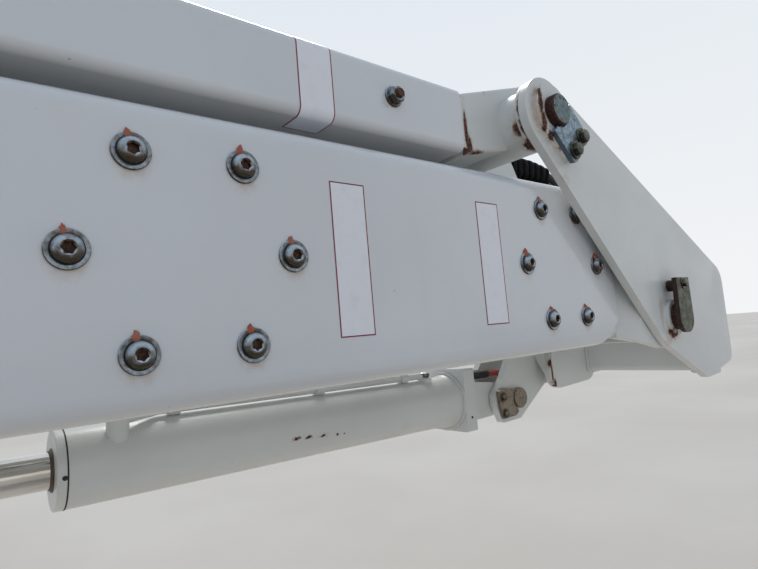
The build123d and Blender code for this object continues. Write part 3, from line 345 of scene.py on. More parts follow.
def film(name, colour, roughness, stain=0.12):
    """Vinyl, daubed paint, sealant, or near-black painted shade for grooves and holes, slightly soiled."""
    recipe = Recipe(name, roughness)
    dirt = recipe.step(recipe.noise(70.0, 6.0), 0.45, 0.85, 0.0, stain)
    recipe.bump(recipe.noise(180.0, 3.0), 0.12)
    return recipe.finish(recipe.blend(dirt, colour, SOIL))


# Bolt rings on both booms: six bolts round each middle, as (x, z) from it in millimetres
BOLT_RING = [(-51.5, 88.0), (51.5, 88.0), (102.0, 0.0), (51.5, -88.0), (-51.5, -88.0), (-102.0, 0.0)]
RING_MIDDLES = [-926.0, -315.0]
UPPER_RING_X = -1335.0
UPPER_MID_Z = (upper_low.z + upper_high.z) / 2

# Faint stains under the lower boom's bolts
HALO_DROP = 9.0
HALO_RADII = (19.0, 12.0, 22.0)
halo_rows = [
    ((ring_x + x, -BOOM_FACE, BOOM_MID_Z + z - HALO_DROP), HALO_RADII)
    for ring_x in RING_MIDDLES
    for x, z in BOLT_RING
]

# Rust on the painted steel, as (centre, radii) in millimetres from the elbow pin
NEAR_PLATE_RUST = [
    ((-6, -134, -31), (15, 9, 13)),
    ((-18, -134, -24), (11, 9, 14)),
    ((-25, -132, -8), (6, 8, 16)),
    ((8, -134, -34), (13, 8, 7)),
    ((-390, -138, 352), (8, 14, 26)),
    ((-386, -140, 320), (8, 8, 24)),
    ((-372, -140, 294), (9, 6, 18)),
    ((-352, -140, 266), (7, 6, 24)),
    ((-326, -140, 244), (8, 6, 10)),
    ((-147, -125, -36), (3, 8, 14)),
]
NEAR_PLATE_STAINS = [
    ((-44, -132, 12), (11, 8, 46)),
    ((-28, -132, -40), (22, 8, 20)),
    ((-398, -138, 334), (18, 12, 60)),
    ((-334, -138, 236), (26, 12, 18)),
]
LINK_TIP_RUST = [
    ((-488, -69, 312), (5.0, 8, 40)),
    ((-484, -69, 290), (8.0, 8, 20)),
    ((-496, -69, 279), (14, 8, 9)),
    ((-446, -69, 278), (58, 9, 9)),
    ((-404, -69, 279), (44, 9, 9)),
    ((-425, -69, 277), (34, 9, 10)),
    ((-368, -105, 296), (30, 14, 10)),
    ((-400, -104, 322), (8, 14, 30)),
    ((-436, -69, 416), (17, 40, 6)),
    ((-435, -69, 403), (4.5, 8, 16)),
]
FAR_LOBE_RUST = [
    ((-51, 117, -80), (4.6, 12, 26)),
    ((-49, 117, -108), (4.4, 12, 26)),
    ((-41, 117, -130), (6, 12, 14)),
]
HUB_RUST = [
    ((-398, -118, 372), (22, 7, 22)),
    ((-410, -118, 346), (18, 7, 26)),
    ((-406, -118, 316), (20, 8, 22)),
    ((-384, -116, 294), (26, 11, 20)),
]
BARREL_RUST = [
    ((-688, 163, -133), (9, 12, 3.0)),
    ((-668, 163, -135), (7, 12, 3.0)),
    ((-638, 163, -138), (8, 12, 3.0)),
    ((-612, 163, -141), (3, 12, 2.5)),
    ((-598, 163, -142), (3, 12, 2.0)),
]

white_paint = paint("white_paint")
near_plate_paint = paint("near_plate_paint", NEAR_PLATE_RUST, 0.55, NEAR_PLATE_STAINS)
link_tip_paint = paint("link_tip_paint", LINK_TIP_RUST, 0.45)
far_lobe_paint = paint("far_lobe_paint", FAR_LOBE_RUST, 0.3)
hub_paint = paint("hub_paint", HUB_RUST, 0.5)
barrel_paint = paint("barrel_paint", BARREL_RUST, 1.2)
turret_paint = paint("turret_paint")
boom_gelcoat = gelcoat("boom_gelcoat", halo_rows)
plain_gelcoat = gelcoat("plain_gelcoat")
pin_rust = worn_end("rusted_pin", (0.14, 0.18, 0.17, 1.0), (0.13, 0.19, 0.215, 1.0), RUST_DARK, LINK_PIN[1])
# In each tarnished steel, the first colour is a painted highlight on what faces up and the second is painted
# shade on what faces down.
pin_steel = tarnished("greased_pin", (0.33, 0.35, 0.33, 1.0), (0.10, 0.08, 0.06, 1.0), 0.25, 0.7)
flag_steel = worn_end("flag_steel", (0.125, 0.13, 0.105, 1.0), OLIVE, (0.028, 0.014, 0.011, 1.0), 22.0)
zinc = tarnished("bright_zinc", ZINC_BLUE_LIT, ZINC_BROWN_SHADED, 0.12, 0.85, (0.18, 0.44))
keeper_zinc = tarnished("keeper_zinc", (0.31, 0.45, 0.57, 1.0), (0.12, 0.15, 0.17, 1.0), 0.16, 0.7)
tan_steel = tarnished("tan_steel", (0.36, 0.32, 0.26, 1.0), (0.20, 0.16, 0.11, 1.0), 0.15, 0.4, (0.4, 0.65))
brown_bolt = tarnished("brown_bolt", (0.24, 0.20, 0.15, 1.0), (0.055, 0.042, 0.03, 1.0), 0.2, 0.5)
bolt_black = tarnished("black_bolt", (0.15, 0.16, 0.12, 1.0), (0.022, 0.018, 0.014, 1.0), 0.18, 0.6)
socket_dark = tarnished("socket_rust", (0.12, 0.075, 0.045, 1.0), RUST_DARK, 0.5, 0.2, (0.6, 0.8))
wiper_brown = film("wiper_brown", (0.075, 0.045, 0.028, 1.0), 0.5)
# Near-black painted shade, put in the grooves under bolt heads and nuts, on the barrel ring's seam and on its
# small screws.
painted_shade_dark = film("painted_shade_gap", (0.02, 0.018, 0.016, 1.0), 0.7)
black_rubber = rubber("black_rubber", BLACK)
red_rubber = rubber("red_rubber", HOSE_RED, 0.2)
sleeve_rubber = rubber("sleeve_rubber", (0.003, 0.003, 0.0035, 1.0), 0.01, 0.05)
sealant = film("sealant", (0.55, 0.54, 0.50, 1.0), 0.5, 0.35)
label_white = film("label_white", LABEL_WHITE, 0.30, 0.10)
label_red = film("label_red", LABEL_RED, 0.32)
mark_orange = film("mark_orange", MARK_ORANGE, 0.5, 0.6)

ROD_EYE_PAINT = 0.061  # painted reach of a rod's eye, in metres from its pin
upper_eye = middle("upper_pin_ends")
lift_eye = middle("lift_pin_ends")

NODE_FINISH = {
    "elbow_near_plate": near_plate_paint,
    "elbow_far_plate": far_lobe_paint,
    "link_tip_fitting": link_tip_paint,
    "upper_barrel": barrel_paint,
    "boom_shell": boom_gelcoat,
    "link_shell": plain_gelcoat,
    "upper_shell": plain_gelcoat,
    "upper_rod": chrome("upper_rod_chrome", upper_eye, ROD_EYE_PAINT),
    "lift_rod": chrome("lift_rod_chrome", lift_eye, ROD_EYE_PAINT),
    "elbow_pin": pin_rust,
    "elbow_pin_flag": flag_steel,
    "link_pin": pin_rust,
    "link_pin_keeper": keeper_zinc,
    "anchor_pin": tan_steel,
    "anchor_pin_keeper": tan_steel,
    "upper_boom_pin": pin_steel,
    "boom_pivot_pin": pin_steel,
    "link_pivot_pin": pin_steel,
    "lift_base_pin": pin_steel,
    "lift_pin_ends": zinc,
    "upper_pin_ends": zinc,
    "upper_rod_pin": zinc,
    "lift_rod_pin": zinc,
    "upper_boom_hoses": black_rubber,
    "port_hose_black": black_rubber,
    "port_hose_red": red_rubber,
}
for name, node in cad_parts.items():
    node.data.materials.clear()
    default = turret_paint if name.startswith("turret") else white_paint
    node.data.materials.append(NODE_FINISH.get(name, default))


class Form:
    """Mesh being put together from parts, each face with the number of its material."""

    def __init__(self):
        self.verts = []
        self.faces = []
        self.marks = []

    def add(self, part, where=Matrix()):
        verts, faces, marks = part
        start = len(self.verts)
        self.verts += [where @ Vector(vert) for vert in verts]
        self.faces += [tuple(start + i for i in face) for face in faces]
        self.marks += marks

    def make(self, name, body, materials, sharp=38.0):
        mesh = bpy.data.meshes.new(name)
        mesh.from_pydata(self.verts, [], self.faces)
        for material in materials:
            mesh.materials.append(material)
        mesh.polygons.foreach_set("material_index", self.marks)
        mesh.shade_smooth()
        mesh.set_sharp_from_angle(angle=math.radians(sharp))
        piece = bpy.data.objects.new(name, mesh)
        bpy.context.scene.collection.objects.link(piece)
        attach(piece, body)
        return piece


def skin_faces(count, around, closed=False):
    """Faces between a count of rings of points, and from the last ring to the first where closed."""
    faces = []
    for row in range(count if closed else count - 1):
        start = row * around
        after = (row + 1) % count * around
        for i in range(around):
            j = (i + 1) % around
            faces.append((start + i, start + j, after + j, after + i))
    return faces


def cap_faces(count, around):
    """One face over the first ring and one over the last."""
    return [tuple(reversed(range(around))), tuple(range((count - 1) * around, count * around))]


SEGMENTS = 48


def rings(rows):
    """Turned form about Z from rows of (radius, height, hexed, mark) in millimetres.

    A hexed row is six-sided, and mark is the number of the material above the row.
    """
    verts, marks = [], []
    for radius, height, hexed, mark in rows:
        marks += [mark] * SEGMENTS
        for i in range(SEGMENTS):
            angle = 2 * math.pi * i / SEGMENTS
            reach = radius / math.cos(angle % (math.pi / 3) - math.pi / 6) if hexed else radius
            verts.append((reach * math.cos(angle) * MM, reach * math.sin(angle) * MM, height * MM))
    faces = skin_faces(len(rows), SEGMENTS) + cap_faces(len(rows), SEGMENTS)
    return verts, faces, marks[:-SEGMENTS] + [marks[0], marks[-1]]


def standing(way):
    """Turn that stands a form's Z along a way."""
    return way.to_track_quat("Z", "Y").to_matrix().to_4x4()


def facing(x, y, z, direction, turn=0.0, size=1.0):
    """Placement that stands a form's Z along a direction, turned about it and scaled."""
    spin = Matrix.Rotation(math.radians(turn), 4, "Z")
    return Matrix.Translation(place(x, y, z)) @ standing(Vector(direction)) @ spin @ Matrix.Scale(size, 4)


# Fasteners, rows of (radius, height, hexed, mark) in millimetres. The second mark is a near-black ring of
# painted shade in the grooves under heads and nuts and round studs.
METAL, PAINTED_SHADE, SOCKET = 0, 1, 2
SOCKET_BOLT = [
    (17.0, 0.0, 0, METAL),
    (17.0, 2.0, 0, METAL),
    (16.5, 2.6, 0, METAL),
    (13.2, 2.6, 0, PAINTED_SHADE),
    (12.3, 2.2, 0, PAINTED_SHADE),
    (12.0, 3.0, 0, METAL),
    (12.1, 4.4, 0, METAL),
    (11.7, 6.0, 0, METAL),
    (10.6, 7.8, 0, METAL),
    (9.0, 9.2, 0, METAL),
    (7.4, 9.9, 0, METAL),
    (6.3, 10.0, 0, METAL),
    (5.7, 9.6, 0, METAL),
    (4.7, 9.0, 1, SOCKET),
    (4.4, 4.6, 1, SOCKET),
]
HEX_BOLT = [
    (15.0, 0.0, 0, METAL),
    (15.0, 2.2, 0, METAL),
    (14.5, 2.7, 0, METAL),
    (10.6, 2.7, 0, PAINTED_SHADE),
    (9.5, 2.6, 1, METAL),
    (9.5, 9.2, 1, METAL),
    (9.2, 10.0, 0, METAL),
    (8.6, 10.2, 0, METAL),
]
NUT_ON_STUD = [
    (15.5, 0.0, 0, METAL),
    (15.5, 2.4, 0, METAL),
    (15.0, 2.9, 0, METAL),
    (11.2, 2.9, 0, PAINTED_SHADE),
    (10.8, 2.9, 1, METAL),
    (10.8, 13.0, 1, METAL),
    (10.4, 14.2, 0, METAL),
    (7.2, 14.4, 0, PAINTED_SHADE),
    (6.6, 14.0, 0, SOCKET),
    (6.6, 18.0, 0, SOCKET),
    (5.8, 18.8, 0, SOCKET),
]
FASTENER_MATERIALS = [zinc, painted_shade_dark, socket_dark]


def boom_bolts():
    form = Form()
    for side in (-1, 1):
        for ring_x in RING_MIDDLES:
            for i, (x, z) in enumerate(BOLT_RING):
                turn = 17.0 * i + 23.0 * (side + 1) + ring_x
                spot = facing(ring_x + x, side * BOOM_FACE, BOOM_MID_Z + z, (0, side, 0), turn)
                form.add(rings(SOCKET_BOLT), spot)
    form.make("boom_bolts", "lower_boom", FASTENER_MATERIALS)


# Daubs of marking paint: half width, half length and height, and how far they sit from a bolt's middle
DAUB_SIZE = (4.4, 6.4, 4.0)
DAUB_SHIFT = (-2.6, 14.8)
DAUB_LEAN = 14.0  # most that one leans, in degrees
DAUB_AROUND = 20
DAUB_LEVELS = 8


def daub(seed):
    """Blob of marking paint, wider at its foot, drawn out to a ragged tip."""
    verts = []
    for row in range(DAUB_LEVELS + 1):
        level = row / DAUB_LEVELS
        reach = math.cos(level * math.pi / 2)
        for i in range(DAUB_AROUND):
            angle = 2 * math.pi * i / DAUB_AROUND
            x = math.cos(angle) * reach
            z = math.sin(angle) * reach
            x *= 1.0 - 0.5 * max(z, 0.0)
            wobble = 1.0 + 0.5 * noise.noise(Vector((2.6 * x + seed, 2.6 * z, level)))
            lift = DAUB_SIZE[2] * math.sin(level * math.pi / 2) ** 0.7
            verts.append((DAUB_SIZE[0] * x * wobble * MM, DAUB_SIZE[1] * z * wobble * MM, lift * MM))
    faces = skin_faces(DAUB_LEVELS + 1, DAUB_AROUND) + cap_faces(DAUB_LEVELS + 1, DAUB_AROUND)[:1]
    return verts, faces, [0] * len(faces)


def torque_marks():
    form = Form()
    for side in (-1, 1):
        for ring_x in RING_MIDDLES:
            for i, (x, z) in enumerate(BOLT_RING):
                mark_x = ring_x + x + DAUB_SHIFT[0]
                mark_z = BOOM_MID_Z + z + DAUB_SHIFT[1]
                spot = facing(mark_x, side * BOOM_FACE, mark_z, (0, side, 0))
                lean = DAUB_LEAN * noise.noise(Vector((i * 1.7, side, ring_x)))
                size = 0.92 + 0.45 * noise.noise(Vector((ring_x, i * 2.3, side)))
                tilt = Matrix.Rotation(math.radians(lean), 4, "Z") @ Matrix.Scale(size, 4)
                form.add(daub(i * 3.1 + ring_x), spot @ tilt)
    form.make("torque_marks", "lower_boom", [mark_orange], sharp=60.0)


# Blank labels: white vinyl with a thin printed border
LABEL_WIDTH = 48.4
LABEL_LENGTH = 175.0
LABEL_BORDER = 1.5
LABEL_THICKNESS = 0.35
BOOM_LABELS = [(-748.0, 103.0), (-501.0, 103.0)]
LINK_LABEL_X = (-786.0, -737.0)
LINK_LABEL_UNDER = 32.0
LINK_LABEL_OVER = 57.0


def sticker(name, body, x_low, x_high, path):
    """Thin label along a path of (y, z, outward y, outward z), with its border printed round the edge."""
    columns = [
        (x_low, 0.0),
        (x_low, LABEL_THICKNESS),
        (x_low + LABEL_BORDER, LABEL_THICKNESS),
        (x_high - LABEL_BORDER, LABEL_THICKNESS),
        (x_high, LABEL_THICKNESS),
        (x_high, 0.0),
    ]
    verts = []
    for y, z, out_y, out_z in path:
        verts += [place(x, y + out_y * lift, z + out_z * lift) for x, lift in columns]
    faces, marks = [], []
    for row in range(len(path) - 1):
        edge_row = row in (0, len(path) - 2)
        for i in range(len(columns) - 1):
            a = row * len(columns) + i
            faces.append((a, a + 1, a + 1 + len(columns), a + len(columns)))
            marks.append(0 if i == 2 and not edge_row else 1)
    form = Form()
    form.add((verts, faces, marks))
    form.make(name, body, [label_white, label_red])


def boom_labels():
    for number, (x, z) in enumerate(BOOM_LABELS, 1):
        top = z + LABEL_LENGTH / 2
        low = z - LABEL_LENGTH / 2
        heights = [top, top - LABEL_BORDER, low + LABEL_BORDER, low]
        path = [(-BOOM_FACE, height, -1.0, 0.0) for height in heights]
        sticker(f"boom_label_{number}", "lower_boom", x - LABEL_WIDTH / 2, x + LABEL_WIDTH / 2, path)


def link_label():
    flat_y = LINK_FACE - LINK_CORNER
    top_z = link_high.z - LINK_CORNER
    low_z = link_low.z + LINK_CORNER
    over = LINK_LABEL_OVER - LABEL_BORDER
    painted_under_shade = LINK_LABEL_UNDER - LABEL_BORDER
    path = [(-flat_y + LINK_LABEL_OVER, link_high.z, 0.0, 1.0), (-flat_y + over, link_high.z, 0.0, 1.0)]
    for start, corner_z in ((90, top_z), (180, low_z)):
        for step in range(9):
            angle = math.radians(start + 90 * step / 8)
            out = (math.cos(angle), math.sin(angle))
            path.append((-flat_y + LINK_CORNER * out[0], corner_z + LINK_CORNER * out[1], *out))
    path += [(-flat_y + painted_under_shade, link_low.z, 0.0, -1.0), (-flat_y + LINK_LABEL_UNDER, link_low.z, 0.0, -1.0)]
    sticker("link_label", "parallel_link", *LINK_LABEL_X, path)


# Nuts on the link, and bolts in the upper boom's tip, whose z is from that boom's middle
LINK_NUTS = [(-639.5, 328.6), (-1225.0, 328.6)]
LINK_NUT_SIZE = 0.92
UPPER_TIP_BOLTS = [(x, z) for x in (-3830.0, -3900.0) for z in (-70.0, 70.0)]


def link_bolts():
    form = Form()
    for side in (-1, 1):
        for i, (x, z) in enumerate(LINK_NUTS):
            spot = facing(x, side * LINK_FACE, z, (0, side, 0), 40.0 * i + 12.0, LINK_NUT_SIZE)
            form.add(rings(NUT_ON_STUD), spot)
    form.make("link_bolts", "parallel_link", FASTENER_MATERIALS)


def upper_boom_bolts():
    form = Form()
    for side, face in ((-1, steel_low.y), (1, steel_high.y)):
        for i, (x, z) in enumerate(BOLT_RING):
            spot = facing(UPPER_RING_X + x, face, UPPER_MID_Z + z, (0, side, 0), 19.0 * i)
            form.add(rings(SOCKET_BOLT), spot)
        for i, (x, z) in enumerate(UPPER_TIP_BOLTS):
            form.add(rings(SOCKET_BOLT), facing(x, face, UPPER_MID_Z + z, (0, side, 0), 31.0 * i))
    form.make("upper_boom_bolts", "upper_boom", FASTENER_MATERIALS)


# Bolts of the link pin's keeper, as (along, across) from the pin, and of the anchor's, as (x, z) from its pin
KEEPER_ALONG = Vector((0.721, -0.693))
KEEPER_ACROSS = Vector((0.693, 0.721))
KEEPER_BOLTS = [(67.0, 18.0), (67.0, -18.0)]
ANCHOR_KEEPER_BOLTS = [(-59.0, 9.5), (-57.0, -25.5)]
ANCHOR_BOLT_SIZE = 0.70
FLAG_BOLT_Z = 64.0  # the bolt of the elbow pin's flag
FLAG_BOLT_SIZE = 0.72


def keeper_bolts():
    form = Form()
    keeper_y = local(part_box("link_pin_keeper")[0]).y
    keeper_turn = math.degrees(math.atan2(LINK_PIN[1], -LINK_PIN[0]))
    for i, (along, across) in enumerate(KEEPER_BOLTS):
        x = LINK_PIN[0] + along * KEEPER_ALONG.x + across * KEEPER_ACROSS.x
        z = LINK_PIN[1] + along * KEEPER_ALONG.y + across * KEEPER_ACROSS.y
        form.add(rings(HEX_BOLT), facing(x, keeper_y, z, (0, -1, 0), keeper_turn + 25.0 * i))
    flag_y = local(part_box("elbow_pin_flag")[0]).y
    form.add(rings(HEX_BOLT), facing(0.0, flag_y, FLAG_BOLT_Z, (0, -1, 0), 11.0, FLAG_BOLT_SIZE))
    form.make("keeper_bolts", "elbow", [bolt_black, painted_shade_dark])

    form = Form()
    anchor_y = local(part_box("anchor_pin_keeper")[0]).y
    for i, (x, z) in enumerate(ANCHOR_KEEPER_BOLTS):
        spot = facing(ANCHOR[0] + x, anchor_y, ANCHOR[1] + z, (0, -1, 0), 33.0 * i, ANCHOR_BOLT_SIZE)
        form.add(rings(HEX_BOLT), spot)
    form.make("anchor_bolts", "elbow", [brown_bolt, painted_shade_dark])


TUBE_SIDES = 10


def tube(points, profile, closed=False):
    """Skin along points; profile(index, angle) gives its radius in millimetres. Open ends are capped."""
    count = len(points)
    verts = []
    side_axis = None
    for i, point in enumerate(points):
        before = points[i - 1] if i or closed else point
        after = points[(i + 1) % count] if i < count - 1 or closed else point
        heading = (after - before).normalized()
        if side_axis is None:
            side_axis = heading.orthogonal().normalized()
        side_axis = (side_axis - heading * side_axis.dot(heading)).normalized()
        other = heading.cross(side_axis)
        for k in range(TUBE_SIDES):
            angle = 2 * math.pi * k / TUBE_SIDES
            reach = profile(i, angle) * MM
            verts.append(point + (side_axis * math.cos(angle) + other * math.sin(angle)) * reach)
    faces = skin_faces(count, TUBE_SIDES, closed)
    if not closed:
        faces += cap_faces(count, TUBE_SIDES)
    return verts, faces, [0] * len(faces)


WELD_PITCH = 4.0  # one ripple of a weld bead, in millimetres
WELD_STEP = 1.4  # distance between the points along a bead
BEAD_SHARP = 70.0  # angle from which an edge of a bead is sharp, in degrees


def walk(corners, step, closed=False):
    """Points about a step in millimetres apart along straight runs between corners in metres."""
    ends = corners + corners[:1] if closed else corners
    points = []
    for start, end in zip(ends, ends[1:]):
        count = max(1, round((end - start).length / (step * MM)))
        points += [start.lerp(end, i / count) for i in range(count)]
    return points if closed else points + [ends[-1]]


def bead(corners, radius, closed=False, step=WELD_STEP, ripple=0.16):
    """Rippled and slightly uneven bead along corners in metres."""
    points = walk(corners, step, closed)

    def swell(i, angle):
        wave = math.cos(2 * math.pi * i * step / WELD_PITCH)
        stray = 0.5 * noise.noise(points[i] * 90.0)
        return radius * (1.0 + ripple * wave + 0.25 * stray)

    return tube(points, swell, closed)


def circle_corners(centre, axis, radius, count=72):
    """Corners round a circle in metres; radius in millimetres."""
    axis = Vector(axis).normalized()
    side_axis = axis.orthogonal().normalized()
    other = axis.cross(side_axis)
    turn = 2 * math.pi / count
    return [
        centre + (side_axis * math.cos(i * turn) + other * math.sin(i * turn)) * radius * MM
        for i in range(count)
    ]


def rounded_rectangle(width, height, corner):
    """Outline of a rounded rectangle round its middle, as pairs in millimetres."""
    outline = []
    for quarter in range(4):
        for step in range(7):
            angle = math.radians(90 * quarter + 15 * step)
            a = (width / 2 - corner) * (1 if quarter in (0, 3) else -1) + corner * math.cos(angle)
            b = (height / 2 - corner) * (1 if quarter in (0, 1) else -1) + corner * math.sin(angle)
            outline.append((a, b))
    return outline


def along_barrel(distance, y=UPPER_Y, rise=0.0):
    """Point in metres at a distance along the upper cylinder's axis, and a rise above it, in millimetres."""
    x = BARREL_AXIS[0] - distance * math.cos(BARREL_SLOPE) + rise * math.sin(BARREL_SLOPE)
    z = BARREL_AXIS[1] + distance * math.sin(BARREL_SLOPE) + rise * math.cos(BARREL_SLOPE)
    return place(x, y, z)


barrel_way = (along_barrel(1000.0) - along_barrel(0.0)).normalized()

# Upper cylinder: radii, and distances along its axis
BARREL_RADIUS = 49.3
TUBE_START = 180.0
RING_START = 864.0
RING_END = 875.0
ROD_RADIUS = 22.25
FLARE_FOOT = 56.4  # radius of the barrel's flare at its end block

# Welds round the cross tube, just off the plates' faces that it meets, and along the cheeks' flat feet
CROSS_WELD_WIDTH = 78.0
CROSS_WELD_CORNER = 12.0
CROSS_WELD_OFF = 2.0
CHEEK_FOOT = (-0.216, 0.236)  # in metres in the frame
CHEEK_WELD_RISE = 0.0015  # in metres


def welds():
    near_face = local(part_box("elbow_near_plate")[1]).y
    far_inside, far_outside = (local(corner).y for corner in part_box("elbow_far_plate"))
    outer_face = local(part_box("elbow_outer_plate")[0]).y
    tube_middle = local(middle("elbow_cross_tube"))
    outline = rounded_rectangle(CROSS_WELD_WIDTH, CROSS_WELD_WIDTH, CROSS_WELD_CORNER)
    form = Form()
    for face, out in ((near_face, 1), (far_inside, -1), (far_outside, 1), (outer_face, -1)):
        y = face + out * CROSS_WELD_OFF
        corners = [place(tube_middle.x + a, y, tube_middle.z + b) for a, b in outline]
        form.add(bead(corners, radius=4.2, closed=True))
    form.make("elbow_welds", "elbow", [white_paint], BEAD_SHARP)

    form = Form()
    corners = circle_corners(along_barrel(TUBE_START + 1.5), barrel_way, FLARE_FOOT)
    form.add(bead(corners, radius=3.0, closed=True))
    form.make("barrel_welds", "upper_barrel", [white_paint], BEAD_SHARP)

    form = Form()
    base_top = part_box("turret_base_plate")[1].z
    for node in ("turret_near_cheek", "turret_far_cheek"):
        for y in (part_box(node)[0].y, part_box(node)[1].y):
            run = [Vector((x, y, base_top + CHEEK_WELD_RISE)) for x in CHEEK_FOOT]
            form.add(bead(run, radius=5.0))
    form.make("turret_welds", "turret", [turret_paint], BEAD_SHARP)


SEALANT_STEP = 4.0
SEALANT_RIPPLE = 0.04
BOOM_ENDS = [shell_low.x]
LINK_ENDS = [link_low.x, link_high.x]
UPPER_ENDS = [steel_low.x, upper_high.x]
SEALANT_BEADS = [  # name, body, ends, y and z of the middle, the shell's size, inset, corner and radius
    ("boom_sealant", "lower_boom", BOOM_ENDS, 0.0, BOOM_MID_Z, BOOM_SIZE, 19.6, 13.5, 3.0),
    ("link_sealant", "parallel_link", LINK_ENDS, 0.0, LINK_MID_Z, LINK_SIZE, 14.6, 5.0, 2.4),
    ("upper_sealant", "upper_boom", UPPER_ENDS, UPPER_Y, UPPER_MID_Z, UPPER_SIZE, 16.6, 12.0, 2.8),
]


def sealant_beads():
    """Soft beads where each glass fibre shell meets its steel."""
    for name, body, ends, y, z, size, inset, corner, radius in SEALANT_BEADS:
        outline = rounded_rectangle(size[0] - inset, size[1] - inset, corner)
        form = Form()
        for x in ends:
            corners = [place(x, y + a, z + b) for a, b in outline]
            form.add(bead(corners, radius, True, SEALANT_STEP, SEALANT_RIPPLE))
        form.make(name, body, [sealant], BEAD_SHARP)


TURNED_SHARP = 30.0  # angle from which an edge of a turned form is sharp, in degrees


def collar(name, body, start, way, rows, materials):
    """Turned ring that stands at a point along a way, rows as for rings but open in the middle."""
    verts, faces, marks = rings(rows)
    form = Form()
    form.add((verts, faces[:-2], marks[:-2]), Matrix.Translation(start) @ standing(way))
    form.make(name, body, materials, TURNED_SHARP)


# Thrust collars round the link's hub, beside the elbow's plates, rows of (radius, height, hexed, mark)
COLLAR_THICKNESS = 8.0
HUB_COLLAR = [
    (51.1, 0.0, 0, 0),
    (58.0, 0.0, 0, 0),
    (59.0, 1.0, 0, 0),
    (59.0, COLLAR_THICKNESS - 1.0, 0, 0),
    (58.0, COLLAR_THICKNESS, 0, 0),
    (51.1, COLLAR_THICKNESS, 0, 0),
]
HUB_FACE = local(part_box("link_tip_fitting")[1]).y


def hub_collars():
    for name, side in (("near_hub_collar", -1), ("far_hub_collar", 1)):
        start = place(LINK_PIN[0], side * (HUB_FACE - COLLAR_THICKNESS), LINK_PIN[1])
        collar(name, "parallel_link", start, Vector((0.0, side, 0.0)), HUB_COLLAR, [hub_paint])


# Flare of the barrel's tube into its end block, and a pipe along the barrel between its two ports
NECK_FLARE = [
    (FLARE_FOOT, 0.0, 0, 0),
    (56.0, 1.5, 0, 0),
    (53.2, 6.0, 0, 0),
    (51.3, 14.0, 0, 0),
    (50.1, 26.0, 0, 0),
    (49.35, 42.0, 0, 0),
]
PIPE_RADIUS = 6.0
PIPE_RISE = 57.0
PIPE_Y = 196.0
PIPE_ENDS = (240.0, 800.0)
BOSS_Y = 172.0
PIPE_STEP = 6.0
PIPE_CLIP = [(9.0, -8.0, 0, 0), (9.4, -7.4, 0, 0), (9.4, 7.4, 0, 0), (9.0, 8.0, 0, 0)]
PIPE_CLIPS_AT = (300.0, 490.0, 730.0)
PORT_BOSS_LEAN = Vector((0.0, -0.2, 1.0)).normalized()
PORT_BOSS = [
    (13.0, -7.0, 1, 0),
    (13.0, 6.0, 1, 0),
    (12.0, 7.0, 0, 0),
    (8.6, 7.2, 1, 1),
    (8.6, 15.0, 1, 1),
    (7.4, 16.0, 0, 1),
    (6.4, 16.2, 0, 1),
]

# Boss at the pipe's far end: where it stands along the barrel and round it, and how far it leans
BIG_BOSS = [(13.5, -12.0, 0, 0), (13.5, 27.0, 0, 0), (12.6, 28.0, 0, 0)]
BIG_BOSS_AT = 806.0
BIG_BOSS_SEAT = math.radians(42.0)
BIG_BOSS_LEAN = math.radians(14.0)


def barrel_neck():
    start = along_barrel(TUBE_START)
    collar("barrel_neck", "upper_barrel", start, barrel_way, NECK_FLARE, [barrel_paint])


def barrel_pipe():
    """Steel pipe clipped along the barrel, from a boss with a union to a plain boss."""
    form = Form()
    corners = [
        along_barrel(PIPE_ENDS[0], PIPE_Y, PIPE_RISE - 8.0),
        along_barrel(PIPE_ENDS[0] + 10.0, PIPE_Y, PIPE_RISE),
        along_barrel(PIPE_ENDS[1] - 50.0, PIPE_Y, PIPE_RISE),
        along_barrel(PIPE_ENDS[1], BOSS_Y, PIPE_RISE - 4.0),
    ]
    form.add(tube(walk(corners, PIPE_STEP), lambda i, angle: PIPE_RADIUS))
    for distance in PIPE_CLIPS_AT:
        spot = Matrix.Translation(along_barrel(distance, PIPE_Y, PIPE_RISE))
        form.add(rings(PIPE_CLIP), spot @ standing(barrel_way))
    spot = Matrix.Translation(along_barrel(PIPE_ENDS[0] + 4.0, PIPE_Y, BARREL_RADIUS - 1.0))
    form.add(rings(PORT_BOSS), spot @ standing(PORT_BOSS_LEAN))
    seat = Vector((0.0, -math.sin(BIG_BOSS_SEAT), math.cos(BIG_BOSS_SEAT)))
    lean = Vector((0.0, -math.sin(BIG_BOSS_LEAN), math.cos(BIG_BOSS_LEAN)))
    spot = Matrix.Translation(along_barrel(BIG_BOSS_AT) + seat * (BARREL_RADIUS - 4.0) * MM)
    form.add(rings(BIG_BOSS), spot @ standing(lean))
    form.make("barrel_pipe", "upper_barrel", [barrel_paint, zinc], TURNED_SHARP)


# Wiper lips and the ring's seam, rows of (reach past the rod or barrel, height)
WIPER = [(4.2, -0.5), (4.0, 1.2), (2.6, 1.6), (1.2, 3.6), (0.4, 3.6), (0.4, -0.5)]
RING_SEAM = [(0.1, -0.9), (0.45, -0.6), (0.45, 0.6), (0.1, 0.9)]
LIFT_GLAND_END = 751.0  # from the lift cylinder's base pin
LIFT_ROD_RADIUS = 30.0


